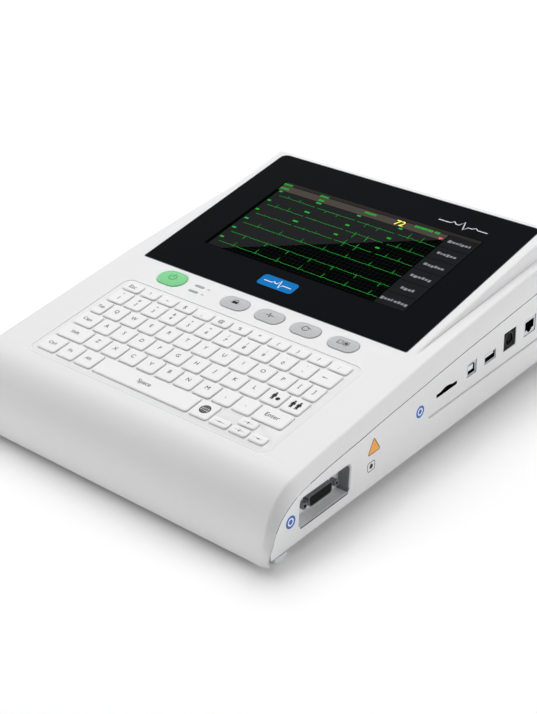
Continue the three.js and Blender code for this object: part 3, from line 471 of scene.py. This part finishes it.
for name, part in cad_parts.items():
    part.data.materials.clear()
    add_slots(part, part_finish(name))
    for face in part.data.polygons:
        face.use_smooth = True
    if name in SOCKET_RIM:
        outer_x = max((part.matrix_world @ v.co).x for v in part.data.vertices)
        # paints the inner faces of the socket black, as shade in its cavity
        shade_left_of(part, outer_x - SOCKET_RIM[name], "black_insert_and_cavity_shade")
    if name == "ecg_connector_shell":
        shade_left_of(part, ECG_SHELL_INNER_X, "case_white")
    if name == "lower_case":
        shade_lower_case(part)
    soften(part, split_degrees=50 if name == "top_cover" else 27)

# ---------------------------------------------------------------- keys
KEY_TOP, KEY_GAP = 1.0, 2.0   # cap height over the panel, gap between keys
KEYS_LEFT = -109
# y from, y to, legends, right edge of each key
KEY_ROWS = [
    (138.9, 148.0, "Esc ! ~ $ _ @ % * ( ) ? :",
     [-92.6, -74.5, -56.4, -38.2, -20, -2, 16.2, 34.5, 52.7, 71, 89.3, 107.8]),
    (121.3, 136.8, "1 2 3 4 5 6 7 8 9 0 - <",
     [-92.8, -74.8, -56.8, -38.8, -20.8, -2.8, 15.2, 33.2, 51.2, 69.2, 87.2, 107.8]),
    (103.8, 119.3, "Tab Q W E R T Y U I O P [ ]",
     [-97.6, -79.6, -61.7, -43.8, -25.8, -7.8, 10.2, 28.2, 46.2, 64.2, 82.2, 94.8, 107.8]),
    (86.3, 101.8, "Caps A S D F G H J K L person people",
     [-90.6, -72.6, -54.6, -36.6, -18.6, -0.6, 17.4, 35.5, 53.6, 71.7, 89.8, 107.8]),
    (68.8, 84.3, "Shift Z X C V B N M , . Enter",
     [-82.2, -64.4, -46.4, -28.4, -10.4, 7.6, 25.6, 43.6, 61.6, 79.6, 107.8]),
]
LAST_Y0, LAST_Y1 = 49.9, 66.4   # front row
ARROW_TOP, ARROW_UP_Y0 = 57.2, 59.2
KEY_SETS = {}  # body: its keys as (x0, x1, y0, y1, legend)
for i, (y0, y1, legends, rights) in enumerate(KEY_ROWS):
    lefts = [KEYS_LEFT] + [x + KEY_GAP for x in rights[:-1]]
    KEY_SETS[f"key_row_{i+1}"] = [(x0, x1, y0, y1, legend)
                                  for x0, x1, legend in zip(lefts, rights, legends.split())]
for body, y0, y1, keys in (
        ("key_row_6", LAST_Y0, LAST_Y1,
         [(KEYS_LEFT, -91.6, "Ctrl"), (-89.6, -73, "Fn"), (-71, -54.2, "Alt")]),
        ("space_bar", LAST_Y0, LAST_Y1, [(-52.2, 39.8, "Space")]),
        ("globe_key", LAST_Y0, LAST_Y1, [(41.8, 58.2, "globe")]),
        ("arrow_keys_lower", LAST_Y0, ARROW_TOP,
         [(60.2, 75.6, "left"), (77.6, 92.2, "down"), (94.2, 107.8, "right")]),
        ("arrow_key_up", ARROW_UP_Y0, LAST_Y1, [(77.6, 92.2, "up")])):
    KEY_SETS[body] = [(x0, x1, y0, y1, legend) for x0, x1, legend in keys]

SHIFTED = dict(zip("1234567890-", '"#^&+=/|;`\''))   # second sign on the number keys
ARROWS = {"left": (-1, 0), "down": (0, -1), "right": (1, 0), "up": (0, 1)}
# cap section: inset from the key outline, height
CAP_PROFILE = [(0, -2.9), (0, -1.6), (0, 0.35), (0.06, 0.58), (0.2, 0.76), (0.45, 0.9),
               (0.8, 0.975), (1.3, KEY_TOP), (2.6, KEY_TOP - 0.03), (3.4, KEY_TOP - 0.05)]
PERSON_HEIGHT = 7.8
# standing figure without head: x, y as a share of the height
PERSON = [(-1.9, -0.06), (-1.35, -0.09), (-1.0, 0.08), (-1.2, -0.5), (-0.25, -0.5), (0, -0.18),
          (0.25, -0.5), (1.2, -0.5), (1.0, 0.08), (1.35, -0.09), (1.9, -0.06), (1.35, 0.27),
          (-1.35, 0.27)]
GLOBE_RADIUS = 3.8


def key_cap(bm, x0, x1, y0, y1):
    loft(bm, [[on_keys(x, y, w) for x, y in round_rect(
        x0 + inset, x1 - inset, y0 + inset, y1 - inset, max(1.9 - inset * 0.7, 0.7))]
        for inset, w in CAP_PROFILE])


def raised(pen):
    return pen.at(KEY_TOP - 0.13, KEY_TOP + 0.015)


def arrow(pen, cx, cy, direction, reach=1.5):
    dx, dy = ARROWS[direction]
    for points in (rect(-reach, reach * 0.3, -0.18, 0.18),
                   [(reach * 0.2, -0.7), (reach, 0), (reach * 0.2, 0.7)]):
        raised(pen).plate([(cx + x * dx - y * dy, cy + x * dy + y * dx) for x, y in points])


def person(pen, cx, cy):
    h = PERSON_HEIGHT
    raised(pen).plate(disc(cx, cy + h * 0.40, h * 0.115, 16))
    raised(pen).plate([(cx + x, cy + h * y) for x, y in PERSON])


def globe(pen, cx, cy):
    r = GLOBE_RADIUS
    pen.ribbon(arc(cx, cy, r, 0, 360, 36), 0.9)
    pen.ribbon(arc(cx, cy, r, 0, 360, 36, squeeze=0.45), 0.75, lift=0.004)
    pen.ribbon([(cx, cy - r), (cx, cy + r)], 0.7, lift=0.008)
    for d in (-r / 2, 0, r / 2):
        half = math.sqrt(r ** 2 - d * d)
        pen.ribbon([(cx - half, cy + d), (cx + half, cy + d)], 0.7, lift=0.012)


def key_legend(legend, cx, cy, depth, letters, icons):
    """Draws signs with the letters pen and figures with the icons pen."""
    if legend in ARROWS:
        arrow(letters, cx, cy, legend)
    elif legend == "<":
        arrow(letters, cx - 1, cy, "left", reach=2.4)
    elif legend == "person":
        person(icons, cx - 1.2, cy + 1.0)
        icons.plate(disc(cx + 3.2, cy - 0.6, 1.7, 18))
    elif legend == "people":
        person(icons, cx - 2.5, cy + 0.5)
        person(icons, cx + 2.4, cy + 0.5)
    elif legend == "globe":
        globe(icons, cx, cy + 0.4)
    elif len(legend) > 1:
        shift = 1.0 if legend == "Space" else 0.6
        size = 5.6 if legend in ("Space", "Enter", "Esc") else 4.5
        letters.text(legend, cx - shift, cy + 0.2, size)
    elif legend in SHIFTED:
        letters.text(legend, cx + 0.2, cy - 1.9, 5.0)
        letters.text(SHIFTED[legend], cx - 0.2, cy + 3.2, 4.0)
    else:
        letters.text(legend, cx - 0.4, cy + (0.9 if depth > 12 else 0), 5.2)


for body, keys in KEY_SETS.items():
    caps = bmesh.new()
    letters, icons = (Pen(on_keys, KEY_TOP - 0.12, KEY_TOP + 0.012) for _ in range(2))
    for x0, x1, y0, y1, legend in keys:
        key_cap(caps, x0, x1, y0, y1)
        key_legend(legend, (x0 + x1) / 2, (y0 + y1) / 2, y1 - y0, letters, icons)
    cap = riding(caps, body + "_caps", "key_white", body, smooth=40)
    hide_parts(body)
    for pen, suffix, finish in ((letters, "_legends", "legend_ink"),
                                (icons, "_icons", "legend_dark")):
        if pen.bm.verts:
            pen.finish(body + suffix, finish, body)
        else:
            pen.bm.free()

# ---------------------------------------------------------------- keyboard panel and bead
PANEL_X, PANEL_Y0, PANEL_Y1, PANEL_RADIUS = 114.25, 44.75, 152.25, 7.2  # half width, y range
WINDOW_GAP = 0.5     # round each key
BEAD_START = 0.05    # from the panel edge to zero offset of the bead section
# bead section: offset outward, height
BEAD = [(-0.25, -0.6), (-0.1, -0.1), (0.15, 0.13), (0.55, 0.2), (0.95, 0.13), (1.2, -0.05),
        (1.3, -0.3)]


def keyboard_inlay():
    """Panel with a rounded window for each key."""
    curve = bpy.data.curves.new("panel", "CURVE")
    curve.dimensions = "2D"
    curve.fill_mode = "BOTH"
    curve.extrude = 0.0005
    curve.bevel_depth = 0.00018
    curve.bevel_resolution = 2
    outlines = [round_rect(-PANEL_X, PANEL_X, PANEL_Y0, PANEL_Y1, PANEL_RADIUS, 8)]
    gap = WINDOW_GAP
    outlines += [round_rect(x0 - gap, x1 + gap, y0 - gap, y1 + gap, 2.3)
                 for keys in KEY_SETS.values() for x0, x1, y0, y1, _ in keys]
    for outline in outlines:
        spline = curve.splines.new("POLY")
        spline.points.add(len(outline) - 1)
        spline.use_cyclic_u = True
        for point, (x, y) in zip(spline.points, outline):
            point.co = (x / 1000, y / math.cos(KEYS_TILT) / 1000, 0, 1)
    mesh = curve_to_mesh(curve)
    mesh.transform(Matrix.Translation(Vector((0, -FRONT, KEYS_Z)) / 1000)
                   @ Matrix.Rotation(KEYS_TILT, 4, "X")
                   @ Matrix.Translation((0, 0, -0.0010)))
    bm = bmesh.new()
    bm.from_mesh(mesh)
    bmesh.ops.remove_doubles(bm, verts=bm.verts, dist=1e-6)
    inlay = riding(bm, "keyboard_inlay", "panel_white", smooth=35)
    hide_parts("keyboard_panel")


def keyboard_bead():
    """Low bead round the keyboard opening."""
    rows = []
    for offset, w in BEAD:
        out = BEAD_START + offset
        outline = round_rect(-PANEL_X - out, PANEL_X + out, PANEL_Y0 - out, PANEL_Y1 + out,
                             PANEL_RADIUS + offset, 8)
        rows.append([on_keys(x, y, w) for x, y in outline])
    riding(closed_band(rows), "keyboard_bead", "panel_white", smooth=60)


keyboard_inlay()
keyboard_bead()

# ---------------------------------------------------------------- push buttons
POWER_X = -84
FUNCTION_X = (-18.5, 15.3, 49.2, 83.5)
# button section: inset, height. A shallow groove runs inside the rim.
BUTTON_PROFILE = [(0, -3.2), (0, 0.0), (0.08, 0.22), (0.28, 0.42), (0.6, 0.56), (1.0, 0.6),
                  (1.35, 0.56), (1.6, 0.5), (1.9, 0.52), (2.6, 0.66), (3.6, 0.8), (5.0, 0.88),
                  (6.4, 0.9)]


def button(name, cx, cy, width, depth, finish):
    bm = bmesh.new()
    loft(bm, [[on_keys(x, y, w) for x, y in round_rect(
        cx - width / 2 + inset, cx + width / 2 - inset,
        cy - depth / 2 + inset, cy + depth / 2 - inset,
        depth / 2 - 0.02 - inset * 0.98, 12)] for inset, w in BUTTON_PROFILE])
    cap = riding(bm, name + "_cap", finish, name, smooth=60)
    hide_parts(name)


def box_icon(pen, x, y):
    pen.plate(rect(x - 2.6, x + 2.6, y - 1.8, y + 1.0))
    pen.ribbon([(x - 1.7, y + 1.0), (x - 1.7, y + 2.6), (x + 1.7, y + 2.6), (x + 1.7, y + 1.0)],
               0.5, lift=0.01)


def pulse_icon(pen, x, y):
    pen.ribbon([(x - 3.4, y), (x - 1.6, y), (x - 0.8, y + 2.6), (x + 0.4, y - 2.6),
                (x + 1.2, y), (x + 3.4, y)], 0.6, lift=0.01)


def ring_icon(pen, x, y):
    pen.ribbon(arc(x - 0.6, y, 2.5, 0, 350, 26), 0.55, lift=0.01)
    pen.ribbon([(x + 1.4, y + 1.4), (x + 3.8, y + 1.4)], 0.5, lift=0.01)


def squares_icon(pen, x, y):
    for k in (x - 3, x + 2.4):
        pen.ribbon([(k - 2, y - 2), (k - 2, y + 2), (k + 1.8, y + 2), (k + 1.8, y - 2),
                    (k - 2, y - 2)], 0.5, lift=0.01)
    pen.plate(disc(x + 2.3, y, 1.2, 16), lift=0.01)


button("power_button", POWER_X, 169.2, 26, 18.4, "button_green")
for i, x in enumerate(FUNCTION_X):
    button(f"function_button_{i+1}", x, 167.8, 25, 14.6, "button_grey")

pen = Pen(on_keys, 0.5, 0.96)
pen.ribbon(arc(POWER_X, 170, 3.2, 115, 425, 26), 0.6)
pen.plate(rect(POWER_X - 0.3, POWER_X + 0.3, 170.4, 174.4))
pen.finish("power_icon", "icon_green", "power_button")
for i, draw in enumerate((box_icon, pulse_icon, ring_icon, squares_icon)):
    pen = Pen(on_keys, 0.5, 0.94)
    draw(pen, FUNCTION_X[i], 168.4)
    pen.finish(f"function_icon_{i+1}", "legend_ink", f"function_button_{i+1}")

pen = Pen(on_keys, -0.05, 0.04)
for y in (171.5, 164):
    pen.ribbon([(-49.5, y - 1), (-48.4, y + 1), (-47.6, y - 0.4), (-46.4, y - 0.4)], 0.35)
pen.finish("indicator_icons", "legend_ink")

# ---------------------------------------------------------------- what the screen shows
MENU_X0, MENU_X1, MENU_Y, MENU_PITCH, MENU_CELL = 70.2, 97.2, 221, 16.6, 16.1
GRID_PITCH = 4.1
# beats drawn in each of four columns: x from, x to, beat centres
COLUMNS = [(-88, -50, (-79, -67)), (-47.5, -9, (-38, -26)), (-6.5, 30, (3, 15)),
           (34, 69, (43, 55))]
# short rows: y at the left, y at the right, (spike, dip after it) for each column
SHORT_ROWS = [
    (303.6, 301.2, [(3.4, 0), (-3.2, 0.6), (-4.0, 1.2), (6.6, -1.2)]),
    (288.3, 286.3, [(4.6, -0.4), (-1.3, 0.5), (2.2, -5.6), (5.6, -0.6)]),
    (273.6, 271.4, [(1.6, 0), (2.6, -0.6), (4.8, -4.6), (5.0, -0.5)]),
]
# full width rows: y at the left, y at the right, spike, dip
LONG_ROWS = [(258.2, 256.6, 5.0, -0.8), (243.2, 241.6, 1.2, -4.4), (228.2, 226.4, 5.6, -1.0)]
LONG_BEATS = (-73, -50.5, -28.5, -6, 16, 38.5, 60.8)
# dashed labels: x from, x to, y
DASHES = [(-96, -87, 320.4), (-95, -86.6, 314.4), (-57, -48, 319.4), (-54, -49, 313.6),
          (-9, 2.4, 316)]
# menu words: y, block widths, 0 is a space
MENU_WORDS = [
    (312.4, (3, 2.6, 2.2, 1.2, 2.4, 2.6, 1.4)), (295.6, (2.4, 1.4, 2.4, 2.4, 2.2, 2.4)),
    (278.6, (3, 2.2, 2.2, 2.2, 2.2, 2.4)), (261.8, (2.2, 3.2, 2.4, 2.2, 2.2, 2.2)),
    (245, (2.2, 2.8, 2.4, 2)), (228.2, (2.4, 2.2, 2.2, 1.4, 0, 2.4, 2.2, 2.4, 2.4)),
]


def glass_layer(name, finish, top, draw):
    pen = Pen(on_glass, -0.16, top)
    draw(pen)
    pen.finish(name, finish)


def menu_column(pen):
    for i in range(6):
        y = MENU_Y + MENU_PITCH * i
        pen.plate(rect(MENU_X0, MENU_X1, y, y + MENU_CELL))


def grid(pen):
    for x in spaced(-92.5, 69, GRID_PITCH):
        pen.ribbon([(x, 221.4), (x, 309.5)], 0.16)
    for y in spaced(223, 309, GRID_PITCH):
        pen.ribbon([(-93, y), (69, y)], 0.16)


def beat(spike, dip, x):
    first, last = (0.45, 0.75) if spike > 0 else (-0.27, -0.525)
    return [(x - 4.0, 0), (x - 3.2, first), (x - 2.4, 0), (x - 0.9, 0), (x - 0.5, -0.12 * spike),
            (x, spike), (x + 0.55, dip), (x + 1.0, 0), (x + 2.2, 0.1), (x + 3.6, last),
            (x + 4.8, 0)]


def trace(pen, x0, x1, y0, y1, centres, spike, dip):
    """One pulse line on a base falling from y0 to y1, with jitter on its long stretches."""
    points = [(x0, 0)]
    for x in centres:
        points += [p for p in beat(spike, dip, x) if x0 < p[0] < x1 and p[0] > points[-1][0]]
    points.append((x1, 0))
    dense = []
    for p, q in zip(points, points[1:]):
        n = max(1, int((q[0] - p[0]) / 1.6))
        for i in range(n):
            t = i / n
            jitter = random.uniform(-0.1, 0.1) if n > 1 else 0
            dense.append((p[0] + (q[0] - p[0]) * t, p[1] + (q[1] - p[1]) * t + jitter))
    dense.append(points[-1])
    pen.ribbon([(x, y0 + (y1 - y0) * (x + 88) / 157 + v) for x, v in dense], 0.3)


def traces(pen):
    for y0, y1, shapes in SHORT_ROWS:
        for (x0, x1, centres), (spike, dip) in zip(COLUMNS, shapes):
            trace(pen, x0, x1, y0, y1, centres, spike, dip)
    for y0, y1, spike, dip in LONG_ROWS:
        trace(pen, -88, 69.5, y0, y1, LONG_BEATS, spike, dip)


def labels(pen):
    for y in (309.4, 294.2, 279.2):
        for x, width in ((-91, 3.2), (-51, 5.0), (-10, 3.6), (30.5, 3.6)):
            pen.plate(rect(x - width / 2, x + width / 2, y - 0.9, y + 0.9))
    for y in (264.4, 249.2, 234.2):
        pen.plate(rect(-92, -88.2, y - 0.9, y + 0.9))
    for x0, x1, y in DASHES:
        for x in spaced(x0, x1, 2.2):
            pen.plate(rect(x, min(x + 1.6, x1), y - 1.1, y + 1.1))
    x = 38.5
    for share in (1, 1, 0.5, 1, 1, 0.5, 1, 1, 0, 1, 1):
        if share:
            pen.plate(rect(x, x + 1.7 * share, 316.6, 319.4))
        x += 2.35 * max(share, 0.7)


def heart(pen):
    pen.plate(disc(65, 313.2, 0.95, 14))
    pen.plate(disc(66.7, 313.2, 0.95, 14), lift=-0.001)
    pen.plate([(64.1, 313), (65.85, 310.9), (67.6, 313)], lift=-0.002)


def menu_words(pen):
    gap = 0.75
    for y, widths in MENU_WORDS:
        x = (MENU_X0 + MENU_X1) / 2 - (sum(widths) + gap * len(widths)) / 2
        for i, width in enumerate(widths):
            if width:
                low = 1.7 if (i * 7 + int(y)) % 4 == 0 else 1.05
                high = 1.7 if i % 3 == 0 else 1.05
                pen.plate(rect(x, x + width, y - low, y + high))
            x += width + gap


TAG_PULSE = [(-20, 203.6), (-12.5, 203.6), (-10.8, 205.4), (-9.4, 203.6), (-7.6, 203.6),
             (-6.0, 208.2), (-3.8, 199.6), (-2.2, 203.6), (6.2, 203.6)]
CORNER_PULSE = [(49, 335), (60, 335), (62.5, 337.6), (65, 335), (68, 335), (70.4, 340.6),
                (74, 330.6), (76.6, 335), (80, 335), (82.6, 337), (85.2, 335), (94, 335)]

# name, material, top, drawing
for layer in (
        ("screen_field", "screen_black", -0.075, lambda p: p.plate(rect(-97, 98, 220.5, 324))),
        # painted reflection: glare on the glass, drawn as a lighter glowing patch on the screen
        ("screen_sheen_area", "screen_sheen", -0.06,
         lambda p: p.plate([(-93.5, 221), (-79, 221), (66, 310.6), (-93.5, 310.6)])),
        ("screen_bar_main", "screen_bar", -0.05, lambda p: p.plate(rect(-95.5, 69.2, 311, 319))),
        ("screen_bar_top", "screen_bar_dark", -0.05,
         lambda p: p.plate(rect(-95.5, 97, 319.6, 323.6))),
        ("screen_menu_column", "screen_menu", -0.05, menu_column),
        ("screen_grid_lines", "screen_grid", -0.045, grid),
        ("screen_traces", "screen_green", -0.035, traces),
        ("screen_labels", "screen_green", -0.03, labels),
        ("screen_rate", "screen_yellow", -0.03, lambda p: p.text("72", 25.5, 315.4, 9.5)),
        ("screen_heart", "screen_red", -0.03, heart),
        ("screen_menu_entries", "screen_text", -0.03, menu_words),
        # a tag in front of the screen and a pulse line at the glass's back right
        ("glass_tag", "tag_blue", -0.07,
         lambda p: p.plate(round_rect(-24, 10, 197.5, 210.5, 3.2))),
        ("glass_tag_pulse", "tag_white", -0.05, lambda p: p.ribbon(TAG_PULSE, 0.8)),
        ("glass_pulse_mark", "print_white", -0.07, lambda p: p.ribbon(CORNER_PULSE, 0.9))):
    glass_layer(*layer)


def glass_edge_trim():
    """Thin light line round the glass, with smaller corners at the front."""
    outer = round_rect(-127.75, 127.75, 182.35, 358.85, 6.0, 10, low_radius=1.9)
    inner = round_rect(-127.2, 127.2, 182.9, 358.3, 5.5, 10, low_radius=1.4)
    rows = [[on_glass(x, y, w) for x, y in outline]
            for outline, w in ((outer, -0.2), (outer, 0.02), (inner, 0.02), (inner, -0.2))]
    riding(closed_band(rows), "glass_edge_trim", "trim_grey")


glass_edge_trim()

# ---------------------------------------------------------------- marks on the right side
SIDE_DISCS = ((25.6, 26.6), (166.8, 39.4))   # centres: y, z


def round_triangle(cy, cz, reach, radius):
    points = []
    for corner in (90, 210, 330):
        y = cy + reach * math.cos(math.radians(corner))
        z = cz + reach * math.sin(math.radians(corner))
        for turn in (-50, -25, 0, 25, 50):
            t = math.radians(corner + turn)
            points.append((y + radius * math.cos(t), z + radius * math.sin(t)))
    return points


def side_mark(name, finish, top, plates=(), ribbons=(), width=None):
    pen = Pen(on_side, -0.15, top)
    for points in ribbons:
        pen.ribbon(points, width)
    for points in plates:
        pen.plate(points)
    pen.finish(name, finish)


TRIANGLE = round_triangle(113.6, 37.6, 6.3, 0.8)
side_mark("side_discs", "mark_blue", 0.05, plates=[disc(y, z, 4.7, 36) for y, z in SIDE_DISCS])
side_mark("side_disc_rings", "mark_white", 0.07, width=1.0,
          ribbons=[arc(y, z, 2.4, 0, 360, 32) for y, z in SIDE_DISCS])
side_mark("side_triangle", "mark_orange", 0.05, plates=[TRIANGLE])
side_mark("side_triangle_edge", "legend_dark", 0.055, ribbons=[closed(TRIANGLE)], width=0.55)
side_mark("side_square_mark", "legend_ink", 0.05, plates=[disc(110.6, 24.1, 1.9, 20)],
          ribbons=[closed(round_rect(106.6, 114.6, 20.6, 27.6, 1.6, 4))], width=0.5)

# ---------------------------------------------------------------- socket details
PORT_FACE = -1.7         # from the side wall
TONGUE_SETBACK = 0.7     # from the port face to the tongue's end
RING_Y, RING_Z = 283.4, 45.0
# ring section: radius, distance outward
RING_PROFILE = [(5.3, 0.0), (5.5, 0.1), (5.55, 0.35), (5.0, 0.35), (4.95, 0.1)]


def tongue(name, y0, y1, z0, z1, depth):
    """Pale block inside a square socket, its outer end softened."""
    end = PORT_FACE - TONGUE_SETBACK
    bm = bmesh.new()
    loft(bm, [[on_side(y, z, w) for y, z in round_rect(
        y0 + inset, y1 - inset, z0 + inset, z1 - inset, 0.3, 3)]
        for inset, w in ((0, PORT_FACE - depth), (0, end - 0.25), (0.1, end - 0.08), (0.25, end))])
    riding(bm, name, "socket_tongue", smooth=30)


def round_port_ring():
    angles = [2 * math.pi * i / 40 for i in range(40)]
    rows = [[on_side(RING_Y + r * math.cos(t), RING_Z + r * math.sin(t), PORT_FACE - 0.5 + w)
             for r, w in RING_PROFILE] for t in angles]
    riding(closed_band(rows), "round_port_ring", "socket_ring", smooth=30)


tongue("usb_b_tongue", 229.2, 236.0, 41.6, 45.6, depth=8.0)
tongue("usb_a_tongue", 251.2, 262.8, 42.3, 44.4, depth=9.0)
round_port_ring()

# ---------------------------------------------------------------- floor, light, camera
pen = Pen(lambda x, y, z: Vector((x, y, z)), -0.02, 0)   # metres
pen.plate(rect(-6, 6, -6, 6))
mesh_object(pen.bm, "floor", "floor_white")
floor_shader = MAT["floor_white"].node_tree.nodes["Principled BSDF"]
floor_shader.inputs["Emission Color"].default_value = (1, 1, 1, 1)
floor_shader.inputs["Emission Strength"].default_value = 0.03


def build_world():
    """White surroundings that dim toward the front right and above."""
    world = bpy.data.worlds.new("w")
    bpy.context.scene.world = world
    world.use_nodes = True
    tree = world.node_tree
    coords = add_node(tree, "TexCoord")
    toward = add_node(tree, "VectorMath", operation="DOT_PRODUCT")
    toward.inputs[1].default_value = (0.5, -0.7, 0.45)
    strength = add_node(tree, "MapRange", From_Min=-0.2, From_Max=0.85, To_Min=0.55, To_Max=0.03)
    background = tree.nodes["Background"]
    tree.links.new(coords.outputs["Generated"], toward.inputs[0])
    tree.links.new(toward.outputs["Value"], strength.inputs["Value"])
    tree.links.new(strength.outputs[0], background.inputs[1])
    background.inputs[0].default_value = (1, 1, 1, 1)


def area_light(name, place, target, size, power):
    """A square light aimed at target, hidden from reflections."""
    light = bpy.data.lights.new(name, "AREA")
    light.size = size
    light.energy = power
    ob = link(bpy.data.objects.new(name, light))
    ob.location = place
    ob.rotation_euler = (Vector(target) - Vector(place)).to_track_quat("-Z", "Y").to_euler()
    ob.visible_glossy = False


def build_camera():
    camera = bpy.data.cameras.new("cam")
    camera.sensor_width = 36
    camera.lens = 74.98084
    camera.clip_start = 0.01
    ob = link(bpy.data.objects.new("cam", camera))
    right = Vector((0.7641, 0.6446, -0.0245))
    down = Vector((0.3042, -0.3936, -0.8675))
    forward = Vector((-0.5688, 0.6554, -0.4968))
    pose = Matrix((right, -down, -forward)).transposed().to_4x4()
    pose.translation = Vector((643.877, -558.996 - FRONT, 585.127)) / 1000
    ob.matrix_world = pose
    bpy.context.scene.camera = ob


build_world()
area_light("key", place=(-1.3, 2.2, 3.7), target=(0, 0, 0), size=3.0, power=194)
area_light("front", place=(-2.6, -3.55, 0.5), target=(0, 0, 0.03), size=2.0, power=108)
area_light("side", place=(3.9, 1.4, 0.8), target=(0, 0, 0.05), size=2.4, power=83)
build_camera()
bpy.context.scene.view_settings.view_transform = "Standard"
